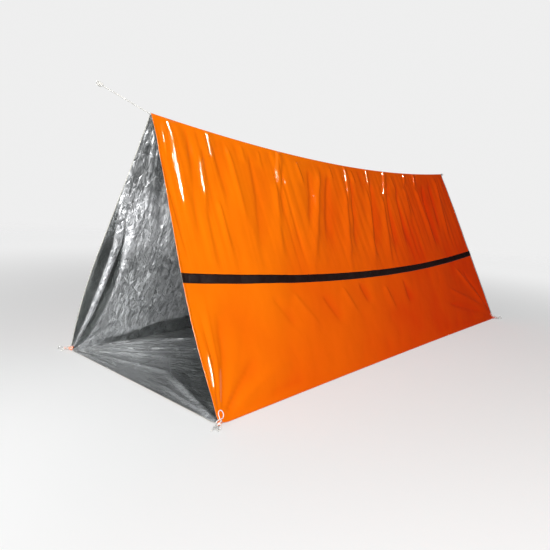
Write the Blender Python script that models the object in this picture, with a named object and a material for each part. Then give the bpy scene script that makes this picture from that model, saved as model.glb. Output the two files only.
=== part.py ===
"""Emergency tube tent: a tube of thin film hung over a ridge cord and pegged down at its four corners.

The origin is the middle of the ground sheet's underside. +Z is up, -Y is the open front and +Y the open back.
The film is parted at its three creases, so the two walls and the ground sheet are three solids.
Run it with: blender --background --python part.py
"""

import math

import bmesh
import bpy
from mathutils import Vector

# Film tube
FLOOR_WIDTH = 0.92
TENT_LENGTH = 2.40
RIDGE_HEIGHT = 0.93
RIDGE_SAG = 0.060
FLOOR_WAIST = 0.008
FRONT_APEX_SETBACK = 0.047
BACK_APEX_SETBACK = 0.015
FILM_THICKNESS = 0.001
CLEARANCE = 0.0003

# Front edges of the walls, which bow forward below the middle of the slant
FRONT_EDGE_BOW = 0.022
FRONT_BOW_REACH = 0.45
FRONT_BOW_LOWNESS = 1.7

# Folds of the walls
WALL_BELLY = 0.012
CREASE_FLAT = 0.015
RIDGE_FOLD_HEIGHT = 0.009
RIDGE_FOLD_LEAN = 0.19
FOLD_LEFT_AT_BAND_SHARE = 0.2
FOLD_FADE_BELOW_BAND = 0.22
CORNER_PLEAT_HEIGHT = 0.007
CORNER_PLEAT_REACH = 0.42
CORNER_PLEAT_START = 0.06
CORNER_PLEATS = 2
UPPER_ROW_SHARES = (0.0, 0.05, 0.15, 0.33, 0.55, 0.77, 1.0)
LOWER_ROW_SHARES = (0.0, 0.2, 0.4, 0.6, 0.8, 1.0)

# Place along the ridge and height of each fold's crest and valley, from the front to the back
RIDGE_FOLD_SHARES = (
    (0.0, 0.1),
    (0.02, -0.4),
    (0.044, 1.0),
    (0.07, -0.6),
    (0.10, 0.9),
    (0.13, -0.5),
    (0.16, 0.6),
    (0.21, -0.9),
    (0.265, 1.0),
    (0.30, -0.6),
    (0.335, 0.5),
    (0.37, -0.4),
    (0.405, 0.8),
    (0.44, -0.8),
    (0.48, 1.0),
    (0.52, -0.7),
    (0.56, 1.0),
    (0.60, -0.8),
    (0.64, 1.0),
    (0.69, -0.9),
    (0.74, 0.9),
    (0.775, -0.5),
    (0.80, 0.8),
    (0.86, -0.7),
    (0.93, 0.7),
    (0.97, -0.3),
    (1.0, 0.1),
)

# Black tape band along each wall
BAND_FROM_RIDGE = 0.581
BAND_WIDTH = 0.033
BAND_THICKNESS = 0.0005

# Ground sheet: each fold's two ends as shares of its width and length, and its height's share
GROUND_FOLD_HEIGHT = 0.006
GROUND_FOLD_WIDTH = 0.10
GROUND_COLUMNS = 10
GROUND_ROWS = 25
GROUND_FOLD_SHARES = (
    (-0.46, -0.49, 0.04, -0.38, 1.0),
    (-0.46, -0.49, 0.36, -0.45, 0.8),
    (-0.42, -0.46, -0.22, -0.24, 0.9),
    (-0.36, -0.22, -0.34, 0.36, 0.7),
    (0.36, -0.30, 0.35, 0.30, 0.8),
    (0.10, 0.24, 0.42, 0.46, 0.9),
    (-0.12, 0.30, -0.42, 0.46, 0.7),
)

# Bunched film at each corner, as a turned and pleated shape: place along its axis and radius
GATHER_AXIS_HEIGHT = 0.0082
GATHER_LENGTH = 0.022
GATHER_BASE_RADIUS = 0.0072
GATHER_NECK_RADIUS = 0.0034
GATHER_TUFT_RADIUS = 0.0050
GATHER_PLEAT_DEPTH_SHARE = 0.14
GATHER_PLEATS = 6
GATHER_SIDES = 24
GATHER_PROFILE_SHARES = (
    (0.0, 1.0, 0.0, 0.0),
    (0.08, 0.45, 0.55, 0.0),
    (0.20, 0.0, 1.0, 0.0),
    (0.76, 0.0, 1.0, 0.0),
    (0.88, 0.0, 0.4, 0.6),
    (1.0, 0.0, 0.0, 1.0),
)

# Ridge cord, its free front stretch and its stopper knots
CORD_DIAMETER = 0.004
CORD_POINTS = 76
CORD_STUB = 0.010
GUY_REACH = 0.160
GUY_RISE = 0.050
GUY_POINTS = 24
KNOT_TURNS = 3
KNOT_TAIL = 0.008
TURN_GAP = 0.0007
ROUTE_STEPS = 12

# Corner ties, which bind the bunched film and loop round the pegs
TIE_DIAMETER = 0.003
TIE_TURNS = 2.75
TIE_POINTS_A_TURN = 12
TIE_FIRST_TURN_SHARE = 0.25
TIE_LOOP_WIDTH = 0.018
TIE_LOOP_LENGTH = 0.024
TIE_LOOP_INWARD = 0.015
TIE_LOOP_ABOVE = 0.031
TIE_LOOP_START = -60.0
TIE_LOOP_END = 205.0
TIE_TAIL_OUT = 0.034
TIE_TAIL_ASIDE = 0.022
TIE_TAIL_RISE = 0.017
TIE_PEG_GAP = 0.0006
TIE_PEG_HEIGHT = 0.0052

# Shares of the tail's reach outwards, aside and up, from its end to the loop on the wall
TIE_TAIL_SHARES = (
    (1.0, 1.0, 0.0),
    (0.8, 0.77, 0.08),
    (0.5, 0.59, 0.48),
    (0.24, 0.36, 1.0),
)

# Wire pegs
PEG_DIAMETER = 0.004
PEG_DEPTH = 0.130
PEG_TIP_LENGTH = 0.014
PEG_TIP_DIAMETER = 0.0008
PEG_NECK_HEIGHT = 0.0095
PEG_CROOK_RADIUS = 0.0075
PEG_CROOK_ANGLE = 205.0
PEG_CROOK_STEPS = 11
PEG_OUTREACH = 0.0315
PEG_LEAN = 12.0

# Each corner's two signs, and the turn of its peg's crook from straight outwards
CORNERS = {
    "front_right": (1, -1, -94.0),
    "front_left": (-1, -1, -4.0),
    "back_right": (1, 1, 35.0),
    "back_left": (-1, 1, -20.0),
}

SIDES = {"right": 1, "left": -1}
UP = Vector((0, 0, 1))


def clear_scene():
    for obj in list(bpy.data.objects):
        bpy.data.objects.remove(obj, do_unlink=True)


def make_material(name, colour, roughness, metallic):
    found = bpy.data.materials.new(name)
    found.use_nodes = True
    shader = found.node_tree.nodes["Principled BSDF"]
    shader.inputs["Base Color"].default_value = (*colour, 1.0)
    shader.inputs["Roughness"].default_value = roughness
    shader.inputs["Metallic"].default_value = metallic
    found.diffuse_color = (*colour, 1.0)
    return found


def make_materials():
    return {
        "film_orange": make_material("film_orange", (0.95, 0.22, 0.01), 0.25, 0.0),
        "film_silver": make_material("film_silver", (0.55, 0.56, 0.58), 0.25, 1.0),
        "band_black": make_material("band_black", (0.012, 0.009, 0.012), 0.4, 0.0),
        "cord_white": make_material("cord_white", (0.80, 0.79, 0.75), 0.7, 0.0),
        "peg_steel": make_material("peg_steel", (0.62, 0.63, 0.62), 0.3, 1.0),
    }


def add_mesh(name, points, faces, material, smooth_angle=None):
    """One closed body with its faces pointing out."""
    mesh = bpy.data.meshes.new(name)
    mesh.from_pydata([tuple(p) for p in points], [], faces)
    body = bmesh.new()
    body.from_mesh(mesh)
    bmesh.ops.recalc_face_normals(body, faces=body.faces)
    body.to_mesh(mesh)
    body.free()
    mesh.materials.append(material)
    if smooth_angle:
        mesh.shade_smooth()
        mesh.set_sharp_from_angle(angle=smooth_angle)
    obj = bpy.data.objects.new(name, mesh)
    bpy.context.scene.collection.objects.link(obj)
    return obj


def add_tube(name, points, diameter, resolution, material, widths=None):
    """A round cord or wire along points; widths gives each point's share of the diameter."""
    curve = bpy.data.curves.new(name, "CURVE")
    curve.dimensions = "3D"
    curve.bevel_depth = diameter / 2
    curve.bevel_resolution = resolution
    curve.use_fill_caps = True
    spline = curve.splines.new("POLY")
    spline.points.add(len(points) - 1)
    for k, point in enumerate(points):
        spline.points[k].co = (*point, 1.0)
        spline.points[k].radius = widths[k] if widths else 1.0
    curve.materials.append(material)
    obj = bpy.data.objects.new(name, curve)
    bpy.context.scene.collection.objects.link(obj)
    return obj


def ramp(value, start, end):
    """Rises smoothly from 0 at start to 1 at end."""
    share = min(max((value - start) / (end - start), 0.0), 1.0)
    return share * share * (3 - 2 * share)


def wave_through(table, place):
    """A smooth wave through a table of (place, height), with its crests and valleys there."""
    for (a, height_a), (b, height_b) in zip(table, table[1:]):
        if place <= b:
            return height_a + (height_b - height_a) * ramp(place, a, b)
    return table[-1][1]


def ridge_point(u):
    """The ridge crease at share u of the length. The cord's sag is a parabola."""
    front = -TENT_LENGTH / 2 + FRONT_APEX_SETBACK
    back = TENT_LENGTH / 2 - BACK_APEX_SETBACK
    return Vector((0, front + (back - front) * u, RIDGE_HEIGHT - RIDGE_SAG * 4 * u * (1 - u)))


def floor_point(side, u):
    """The crease between a wall and the ground sheet, on the film's outer face."""
    half = FLOOR_WIDTH / 2 - FLOOR_WAIST * 4 * u * (1 - u)
    return Vector((side * half, TENT_LENGTH * (u - 0.5), 0))


def slant_at(side, u):
    return (floor_point(side, u) - ridge_point(u)).length


def wall_outward(side, u):
    """The wall's outward direction, square to its slant."""
    down = floor_point(side, u) - ridge_point(u)
    return Vector((-side * down.z, 0, side * down.x)).normalized()


def hang(below):
    """How far a ridge fold has opened, by the distance below the ridge."""
    band_top = BAND_FROM_RIDGE - BAND_WIDTH / 2
    band_bottom = BAND_FROM_RIDGE + BAND_WIDTH / 2
    opened = ramp(below, CREASE_FLAT, 5 * CREASE_FLAT)
    to_band = 1 - (1 - FOLD_LEFT_AT_BAND_SHARE) * ramp(below, band_top / 2, band_top)
    return opened * to_band * (1 - ramp(below, band_bottom, band_bottom + FOLD_FADE_BELOW_BAND))


def corner_pleat(along, above):
    """Pleats that run out from a bottom corner, by the distances along the floor and up the slant."""
    reach = math.hypot(along, above)
    angle = math.atan2(above, along)
    swell = ramp(reach, CORNER_PLEAT_START, CORNER_PLEAT_REACH / 2)
    swell *= 1 - ramp(reach, CORNER_PLEAT_REACH / 2, CORNER_PLEAT_REACH)
    swell *= ramp(above, CREASE_FLAT, 4 * CREASE_FLAT)
    return CORNER_PLEAT_HEIGHT * swell * math.cos(4 * CORNER_PLEATS * angle)


def wall_point(side, u, below):
    """A point of the wall's outer face, at share u of the length and a distance below the ridge."""
    top = ridge_point(u)
    down = floor_point(side, u) - top
    slant = down.length
    share = max(below / slant, 0.0)
    point = top + down * (below / slant)
    lean = RIDGE_FOLD_LEAN * math.sin(math.pi * u)
    lean *= below / BAND_FROM_RIDGE if below < BAND_FROM_RIDGE else (slant - below) / (slant - BAND_FROM_RIDGE)
    bow = FRONT_EDGE_BOW * math.sin(math.pi * share**FRONT_BOW_LOWNESS)
    bow *= 1 - ramp(u * TENT_LENGTH, 0, FRONT_BOW_REACH)
    point.y -= lean + bow
    belly = ramp(below, CREASE_FLAT, slant / 2) * ramp(slant - below, CREASE_FLAT, slant / 2)
    rise = RIDGE_FOLD_HEIGHT * wave_through(RIDGE_FOLD_SHARES, u) * hang(below)
    rise -= WALL_BELLY * belly * 4 * u * (1 - u)
    above = slant - below
    rise += corner_pleat(u * TENT_LENGTH, above) + corner_pleat((1 - u) * TENT_LENGTH, above)
    point += wall_outward(side, u) * rise
    point.x += side * CLEARANCE / 2
    return point


def wall_rows(side, u):
    """Distances below the ridge of the wall's rows of points; the band's two edges are rows."""
    slant = slant_at(side, u)
    band_top = BAND_FROM_RIDGE - BAND_WIDTH / 2
    band_bottom = BAND_FROM_RIDGE + BAND_WIDTH / 2
    upper = [CREASE_FLAT + (band_top - CREASE_FLAT) * share for share in UPPER_ROW_SHARES]
    low_end = slant - CREASE_FLAT
    lower = [band_bottom + (low_end - band_bottom) * share for share in LOWER_ROW_SHARES]
    return [0.0, *upper, *lower, slant]


def wall_normal(side, u, below):
    """The outer face's own normal there, from two short steps along it."""
    step_u = CREASE_FLAT / TENT_LENGTH
    along = wall_point(side, u + step_u, below) - wall_point(side, u - step_u, below)
    down = wall_point(side, u, below + CREASE_FLAT) - wall_point(side, u, below - CREASE_FLAT)
    normal = along.cross(down).normalized()
    return normal if normal.x * side > 0 else -normal


def add_slab(name, outer, inner, material):
    """A thin closed sheet between two grids of points, which lists of rows hold."""
    rows = len(outer)
    columns = len(outer[0])
    points = [p for row in outer for p in row] + [p for row in inner for p in row]
    under = rows * columns
    faces = []
    for i in range(rows - 1):
        for j in range(columns - 1):
            a = i * columns + j
            b = a + 1
            c = b + columns
            d = a + columns
            faces += [(a, b, c), (a, c, d)]
            faces += [(under + a, under + c, under + b), (under + a, under + d, under + c)]
    top = [j for j in range(columns)]
    right = [i * columns + columns - 1 for i in range(1, rows)]
    bottom = [(rows - 1) * columns + j for j in range(columns - 2, -1, -1)]
    left = [i * columns for i in range(rows - 2, 0, -1)]
    rim = top + right + bottom + left
    for a, b in zip(rim, rim[1:] + rim[:1]):
        faces += [(a, under + a, under + b), (a, under + b, b)]
    return add_mesh(name, points, faces, material)


def make_wall(name, side, material):
    """A wall from the ridge crease to the floor crease, cut upright at the ridge and level at the floor."""
    outer = []
    inner = []
    for u, _ in RIDGE_FOLD_SHARES:
        rows = wall_rows(side, u)
        face = [wall_point(side, u, below) for below in rows]
        back = [p - wall_normal(side, u, below) * FILM_THICKNESS for p, below in zip(face, rows)]
        flat = wall_outward(side, u)
        back[0] = face[0] - UP * (FILM_THICKNESS / flat.z)
        back[-1] = face[-1] - Vector((FILM_THICKNESS / flat.x, 0, 0))
        outer.append(face)
        inner.append(back)
    return add_slab(name, outer, inner, material)


def make_band(name, side, material):
    """The tape band, which lies on the wall along the two rows that are its edges."""
    outer = []
    inner = []
    for u, _ in RIDGE_FOLD_SHARES:
        edges = wall_rows(side, u)[len(UPPER_ROW_SHARES) :][:2]
        face = [wall_point(side, u, below) for below in edges]
        lift = [wall_normal(side, u, below) for below in edges]
        outer.append([p + n * (CLEARANCE + BAND_THICKNESS) for p, n in zip(face, lift)])
        inner.append([p + n * CLEARANCE for p, n in zip(face, lift)])
    return add_slab(name, outer, inner, material)


def ground_lift(x_share, y_share):
    """How far the folds lift the ground sheet off the ground there."""
    place = Vector((x_share * FLOOR_WIDTH, y_share * TENT_LENGTH, 0))
    lift = 0.0
    for x0, y0, x1, y1, height_share in GROUND_FOLD_SHARES:
        start = Vector((x0 * FLOOR_WIDTH, y0 * TENT_LENGTH, 0))
        run = Vector((x1 * FLOOR_WIDTH, y1 * TENT_LENGTH, 0)) - start
        share = min(max((place - start).dot(run) / run.length_squared, 0.0), 1.0)
        away = (place - start - run * share).length
        crest = 1 - ramp(away, 0, GROUND_FOLD_WIDTH)
        lift = max(lift, height_share * crest * math.sin(math.pi * (0.15 + 0.7 * share)))
    edge = min(0.5 - abs(x_share), 0.5 - abs(y_share))
    return GROUND_FOLD_HEIGHT * lift * ramp(edge, 0.0, 0.08)


def make_ground_sheet(material):
    """The floor panel, flat on the ground but for its low folds, with slanted edges beside the walls."""
    upper = []
    lower = []
    for i in range(GROUND_ROWS + 1):
        u = i / GROUND_ROWS
        crease = floor_point(1, u)
        flat = wall_outward(1, u)
        slope = flat.z / flat.x
        half = crease.x + CLEARANCE / 2 - (FILM_THICKNESS + CLEARANCE) / flat.x
        top_row = []
        low_row = []
        for j in range(GROUND_COLUMNS + 1):
            x_share = j / GROUND_COLUMNS - 0.5
            lift = ground_lift(x_share, u - 0.5)
            low_row.append(Vector((2 * x_share * half, crease.y, lift)))
            half_top = half - FILM_THICKNESS * slope
            top_row.append(Vector((2 * x_share * half_top, crease.y, lift + FILM_THICKNESS)))
        upper.append(top_row)
        lower.append(low_row)
    return add_slab("ground_sheet", upper, lower, material)


def smooth_route(chosen, spacing):
    """Points a spacing apart on a smooth curve through the chosen ones."""
    ends = [2 * chosen[0] - chosen[1], *chosen, 2 * chosen[-1] - chosen[-2]]
    fine = []
    for a, b, c, d in zip(ends, ends[1:], ends[2:], ends[3:]):
        t1 = math.sqrt((b - a).length)
        t2 = t1 + math.sqrt((c - b).length)
        t3 = t2 + math.sqrt((d - c).length)
        for k in range(ROUTE_STEPS):
            t = t1 + (t2 - t1) * k / ROUTE_STEPS
            ab = a * ((t1 - t) / t1) + b * (t / t1)
            bc = b * ((t2 - t) / (t2 - t1)) + c * ((t - t1) / (t2 - t1))
            cd = c * ((t3 - t) / (t3 - t2)) + d * ((t - t2) / (t3 - t2))
            abc = ab * ((t2 - t) / t2) + bc * (t / t2)
            bcd = bc * ((t3 - t) / (t3 - t1)) + cd * ((t - t1) / (t3 - t1))
            fine.append(abc * ((t2 - t) / (t2 - t1)) + bcd * ((t - t1) / (t2 - t1)))
    fine.append(chosen[-1])
    length = sum((b - a).length for a, b in zip(fine, fine[1:]))
    count = max(round(length / spacing), 1)
    found = [fine[0]]
    run = 0.0
    for a, b in zip(fine, fine[1:]):
        step = (b - a).length
        while len(found) < count and run + step >= length / count * len(found):
            found.append(a.lerp(b, (length / count * len(found) - run) / step))
        run += step
    return [*found, fine[-1]]


def least_gap(points, diameter):
    """The least space between a cord and itself, measured between places well apart along it."""
    fine = []
    for a, b in zip(points, points[1:]):
        fine += [a, a.lerp(b, 1 / 4), a.lerp(b, 1 / 2), a.lerp(b, 3 / 4)]
    fine.append(points[-1])
    travelled = [0.0]
    for a, b in zip(fine, fine[1:]):
        travelled.append(travelled[-1] + (b - a).length)
    least = math.inf
    for i, a in enumerate(fine):
        for j in range(i + 1, len(fine)):
            if travelled[j] - travelled[i] > 2.5 * diameter:
                least = min(least, (fine[j] - a).length - diameter)
    return least


def cord_centre(u):
    """The ridge cord's centre, where it touches both walls' inner faces under the ridge but for the clearance."""
    flat = wall_outward(1, u)
    below_crease = FILM_THICKNESS / flat.z
    below_inner = (CORD_DIAMETER / 2 + CLEARANCE) / flat.z
    return ridge_point(u) - UP * (below_crease + below_inner)


def cord_front():
    """Where the ridge cord's held length ends, just in front of the film, and the way it points there."""
    start = cord_centre(0)
    slope = (start - cord_centre(1 / CORD_POINTS)).normalized()
    onward = Vector((0, -GUY_REACH, GUY_RISE)).normalized()
    return start + (slope + onward).normalized() * CORD_STUB, onward


def make_ridge_cord(material):
    front, onward = cord_front()
    back = cord_centre(1)
    slope = (back - cord_centre(1 - 1 / CORD_POINTS)).normalized()
    held = [cord_centre(k / CORD_POINTS) for k in range(CORD_POINTS + 1)]
    points = [front + onward * CORD_DIAMETER, front, *held, back + slope * CORD_STUB]
    add_tube("ridge_cord", points, CORD_DIAMETER, 2, material)
    return points[-1], slope


def make_front_guy(material):
    """The free stretch in front of the apex, held taut by what the tent hangs from."""
    front, onward = cord_front()
    start = front + onward * (CORD_DIAMETER + CLEARANCE)
    end = start + Vector((0, -GUY_REACH, GUY_RISE))
    points = [start.lerp(end, k / GUY_POINTS) for k in range(GUY_POINTS + 1)]
    add_tube("front_guy", points, CORD_DIAMETER, 2, material)
    return end, onward


def knot_route(start, onward):
    """A barrel knot: the cord runs through, turns back and winds over itself, and ends in a short tail."""
    across = onward.cross(Vector((1, 0, 0))).normalized()
    aside = onward.cross(across).normalized()
    pitch = CORD_DIAMETER + TURN_GAP
    radius = CORD_DIAMETER + 2 * TURN_GAP
    core = pitch * (KNOT_TURNS + 0.6)
    chosen = [start, start + onward * core / 2, start + onward * core]
    chosen.append(start + onward * (core + 0.6 * radius) + across * 0.2 * radius)
    chosen.append(start + onward * (core + 0.6 * radius) + across * 0.8 * radius)
    count = KNOT_TURNS * TIE_POINTS_A_TURN
    for k in range(count + 1):
        angle = 2 * math.pi * k / TIE_POINTS_A_TURN
        place = core - pitch * k / TIE_POINTS_A_TURN
        around = across * math.cos(angle) + aside * math.sin(angle)
        chosen.append(start + onward * place + around * radius)
    chosen.append(chosen[-1] + aside * KNOT_TAIL / 2 + across * KNOT_TAIL / 8)
    chosen.append(chosen[-1] + aside * KNOT_TAIL / 2 + across * KNOT_TAIL / 4)
    return smooth_route(chosen, CORD_DIAMETER / 1.5)


def make_knot(name, start, onward, material):
    points = knot_route(start + onward * CLEARANCE, onward)
    print(f"{name}: least gap {1000 * least_gap(points, CORD_DIAMETER):.2f} mm, {len(points)} points")
    add_tube(name, points, CORD_DIAMETER, 1, material)


class Corner:
    """Directions at a bottom corner of the tent: out along its diagonal, aside along the ground, and up."""

    def __init__(self, side, end):
        self.foot = floor_point(side, 0.5 + end / 2)
        self.foot.x += side * CLEARANCE / 2
        self.side = side
        self.end = end
        self.out = Vector((side, end, 0)).normalized()
        self.aside = Vector((side, -end, 0)).normalized()

    def place(self, out, aside, up):
        return self.foot + self.out * out + self.aside * aside + UP * up

    def on_wall(self, inward, above, lift):
        """A point by the wall's outer face: its distances from the end, up the slant and off the face."""
        flat = wall_outward(self.side, 0.5 + self.end / 2)
        upward = Vector((-self.side * flat.z, 0, abs(flat.x)))
        return self.foot - Vector((0, self.end * inward, 0)) + upward * above + flat * lift


def make_gather(name, corner, material):
    """The corner of the film bunched into a pleated neck and tuft."""
    points = []
    for place, base, neck, tuft in GATHER_PROFILE_SHARES:
        radius = base * GATHER_BASE_RADIUS + neck * GATHER_NECK_RADIUS + tuft * GATHER_TUFT_RADIUS
        for k in range(GATHER_SIDES):
            angle = 2 * math.pi * k / GATHER_SIDES
            pleat = 1 - GATHER_PLEAT_DEPTH_SHARE * (0.5 + 0.5 * math.cos(GATHER_PLEATS * angle))
            out = CLEARANCE + place * GATHER_LENGTH
            aside = radius * pleat * math.sin(angle)
            up = GATHER_AXIS_HEIGHT + radius * pleat * math.cos(angle)
            points.append(corner.place(out, aside, up))
    faces = [tuple(range(GATHER_SIDES))]
    for ring in range(len(GATHER_PROFILE_SHARES) - 1):
        for k in range(GATHER_SIDES):
            a = ring * GATHER_SIDES + k
            b = ring * GATHER_SIDES + (k + 1) % GATHER_SIDES
            faces.append((a, b, b + GATHER_SIDES, a + GATHER_SIDES))
    faces.append(tuple(range(len(points) - GATHER_SIDES, len(points))))
    add_mesh(name, points, faces, material)


def tie_tail(corner):
    """The loose end, from the ground in front up to the wall."""
    ground = TIE_DIAMETER / 2 + CLEARANCE
    for out, aside, up in TIE_TAIL_SHARES:
        yield corner.place(TIE_TAIL_OUT * out, -TIE_TAIL_ASIDE * aside, ground + TIE_TAIL_RISE * up)


def tie_loop(corner):
    """The standing loop, which lies on the wall, with the strand to the tail over the one to the neck."""
    off = TIE_DIAMETER / 2 + FILM_THICKNESS
    over = off + TIE_DIAMETER + TURN_GAP
    low = TIE_LOOP_ABOVE - TIE_LOOP_LENGTH / 2
    yield corner.on_wall(TIE_LOOP_INWARD / 4, low, over + TIE_DIAMETER)
    yield corner.on_wall(TIE_LOOP_INWARD * 0.87, low, over)
    steps = TIE_POINTS_A_TURN
    for k in range(steps + 1):
        angle = math.radians(TIE_LOOP_START + (TIE_LOOP_END - TIE_LOOP_START) * k / steps)
        inward = TIE_LOOP_INWARD + math.cos(angle) * TIE_LOOP_WIDTH / 2
        above = TIE_LOOP_ABOVE + math.sin(angle) * TIE_LOOP_LENGTH / 2
        yield corner.on_wall(inward, above, off)
    yield corner.on_wall(TIE_LOOP_INWARD * 0.4, low, off)


def tie_turns(corner):
    """The turns round the gather's neck, with the strand that comes over the gather's base to them."""
    half = TIE_DIAMETER / 2
    clear = GATHER_BASE_RADIUS + half + TURN_GAP
    yield corner.place(-TIE_DIAMETER, 0.6 * clear, GATHER_AXIS_HEIGHT + 0.9 * clear)
    yield corner.place(CLEARANCE, 0.5 * clear, GATHER_AXIS_HEIGHT + 0.9 * clear)
    radius = GATHER_NECK_RADIUS + CLEARANCE + half
    pitch = TIE_DIAMETER + TURN_GAP
    first = CLEARANCE + GATHER_PROFILE_SHARES[2][0] * GATHER_LENGTH + half
    for k in range(round(TIE_TURNS * TIE_POINTS_A_TURN) + 1):
        turn = 2 * math.pi * (k / TIE_POINTS_A_TURN + TIE_FIRST_TURN_SHARE)
        up = GATHER_AXIS_HEIGHT + radius * math.sin(turn)
        yield corner.place(first + pitch * k / TIE_POINTS_A_TURN, radius * math.cos(turn), up)


def tie_round_peg(corner):
    """The strand past the tuft, round the peg and back beside the turns, where it ends."""
    half = TIE_DIAMETER / 2
    clear = GATHER_TUFT_RADIUS + half + TURN_GAP
    yield corner.place(0.88 * GATHER_LENGTH, 0.97 * clear, GATHER_AXIS_HEIGHT + TURN_GAP)
    yield corner.place(GATHER_LENGTH, clear, GATHER_AXIS_HEIGHT)
    radius = PEG_DIAMETER / 2 + half + TIE_PEG_GAP
    shank = PEG_OUTREACH + TIE_PEG_HEIGHT * math.tan(math.radians(PEG_LEAN))
    for k in range(5):
        angle = math.pi * (0.5 - k / 4)
        yield corner.place(shank + radius * math.cos(angle), radius * math.sin(angle), TIE_PEG_HEIGHT)
    beside = GATHER_NECK_RADIUS + TIE_DIAMETER + half + 2 * TURN_GAP
    yield corner.place(GATHER_LENGTH * 1.15, -clear, TIE_PEG_HEIGHT)
    yield corner.place(GATHER_LENGTH * 0.85, -beside, TIE_PEG_HEIGHT)
    yield corner.place(GATHER_LENGTH * 0.5, -beside, TIE_PEG_HEIGHT)


def tie_route(corner):
    return [*tie_tail(corner), *tie_loop(corner), *tie_turns(corner), *tie_round_peg(corner)]


def make_tie(name, corner, material):
    points = smooth_route(tie_route(corner), TIE_DIAMETER)
    print(f"{name}: least gap {1000 * least_gap(points, TIE_DIAMETER):.2f} mm, {len(points)} points")
    add_tube(name, points, TIE_DIAMETER, 1, material)


def make_peg(name, corner, crook_turn, material):
    """A wire peg driven in leaning outwards, with a crook that turns back down."""
    lean = math.radians(PEG_LEAN)
    axis = corner.out * math.sin(lean) + UP * math.cos(lean)
    entry = corner.place(PEG_OUTREACH, 0, 0)
    turn = math.radians(crook_turn)
    level = corner.out * math.cos(turn) + corner.aside * math.sin(turn)
    crook = (level - axis * level.dot(axis)).normalized()
    tip = -axis * PEG_DEPTH
    neck = axis * PEG_NECK_HEIGHT
    points = [tip, tip + axis * PEG_TIP_LENGTH, neck]
    for k in range(1, PEG_CROOK_STEPS + 1):
        angle = math.radians(PEG_CROOK_ANGLE) * k / PEG_CROOK_STEPS
        swing = crook * (1 - math.cos(angle)) + axis * math.sin(angle)
        points.append(neck + swing * PEG_CROOK_RADIUS)
    widths = [PEG_TIP_DIAMETER / PEG_DIAMETER] + [1.0] * (len(points) - 1)
    peg = add_tube(name, points, PEG_DIAMETER, 2, material, widths)
    peg.location = entry
    return peg


def main():
    clear_scene()
    materials = make_materials()
    for name, side in SIDES.items():
        make_wall(f"{name}_wall", side, materials["film_orange"])
        make_band(f"{name}_band", side, materials["band_black"])
    make_ground_sheet(materials["film_silver"])
    back_end, outward = make_ridge_cord(materials["cord_white"])
    make_knot("back_knot", back_end, outward, materials["cord_white"])
    front_end, onward = make_front_guy(materials["cord_white"])
    make_knot("front_knot", front_end, onward, materials["cord_white"])
    for name, (side, end, crook_turn) in CORNERS.items():
        corner = Corner(side, end)
        make_gather(f"{name}_gather", corner, materials["film_orange"])
        make_tie(f"{name}_tie", corner, materials["cord_white"])
        make_peg(f"{name}_peg", corner, crook_turn, materials["peg_steel"])


main()
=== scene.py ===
"""Looks of an emergency tube tent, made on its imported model.

The frame's X points right, +Y runs from the open front to the open back and +Z is up, all in metres.
Every soft solid is replaced by a fuller piece: thin film panels, tape bands, twisted cords, gathers and ties.
"""

import math

import bmesh
import bpy
import numpy as np
from mathutils import Matrix, Vector


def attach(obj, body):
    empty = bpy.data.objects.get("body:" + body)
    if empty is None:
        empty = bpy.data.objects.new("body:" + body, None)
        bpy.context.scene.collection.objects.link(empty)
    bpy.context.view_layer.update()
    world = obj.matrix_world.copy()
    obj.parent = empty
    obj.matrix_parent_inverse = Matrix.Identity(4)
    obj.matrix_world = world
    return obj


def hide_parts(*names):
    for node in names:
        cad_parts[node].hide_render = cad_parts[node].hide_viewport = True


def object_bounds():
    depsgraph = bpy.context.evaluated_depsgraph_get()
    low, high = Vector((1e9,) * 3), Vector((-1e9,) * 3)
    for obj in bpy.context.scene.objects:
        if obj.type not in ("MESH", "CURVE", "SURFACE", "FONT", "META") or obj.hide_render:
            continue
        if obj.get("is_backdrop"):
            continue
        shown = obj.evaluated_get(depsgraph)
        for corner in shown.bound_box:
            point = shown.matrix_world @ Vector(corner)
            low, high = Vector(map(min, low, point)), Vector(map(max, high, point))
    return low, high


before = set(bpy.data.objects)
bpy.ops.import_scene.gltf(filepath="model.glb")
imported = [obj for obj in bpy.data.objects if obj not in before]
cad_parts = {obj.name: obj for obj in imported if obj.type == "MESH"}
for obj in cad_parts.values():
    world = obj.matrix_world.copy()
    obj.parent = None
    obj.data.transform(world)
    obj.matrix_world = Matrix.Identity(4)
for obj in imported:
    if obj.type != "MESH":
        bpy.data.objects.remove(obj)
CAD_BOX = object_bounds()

bl_info = {
    "name": "Emergency Tube Tent",
    "version": (1, 0, 0),
    "blender": (4, 5, 0),
    "location": "3D View > Sidebar > Tube Tent",
    "description": "Film, cords, pegs and stage of a tube tent hung over a cord",
    "category": "Object",
}

# Film tube, as its solids are
FLOOR_WIDTH = 0.92
TENT_LENGTH = 2.40
RIDGE_HEIGHT = 0.93
RIDGE_SAG = 0.060
FLOOR_WAIST = 0.008
FRONT_APEX_SETBACK = 0.047
BACK_APEX_SETBACK = 0.015
SOLID_FILM = 0.001
CLEARANCE = 0.0003
FRONT_EDGE_BOW = 0.022
FRONT_BOW_REACH = 0.45
FRONT_BOW_LOWNESS = 1.7
WALL_BELLY = 0.012
SLANT = 1.0375

# Film panels: thickness, and roundings over the cord and under the feet
FILM_THICKNESS = 0.0006
RIDGE_ROUND = 0.0033
FOOT_ROUND = 0.0030
ARC_STEPS = 5

# Columns along the tent, which crowd towards the front and again in close stretches, and rows
FILM_COLUMNS = 300
WALL_COLUMNS = 510
COLUMN_CROWDING = 0.18
CLOSE_TIMES = 3.0
CLOSE_BLUR = 0.012
FINE_STEPS = 6001
WALL_ROWS = 84
GROUND_ROWS = 112

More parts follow.
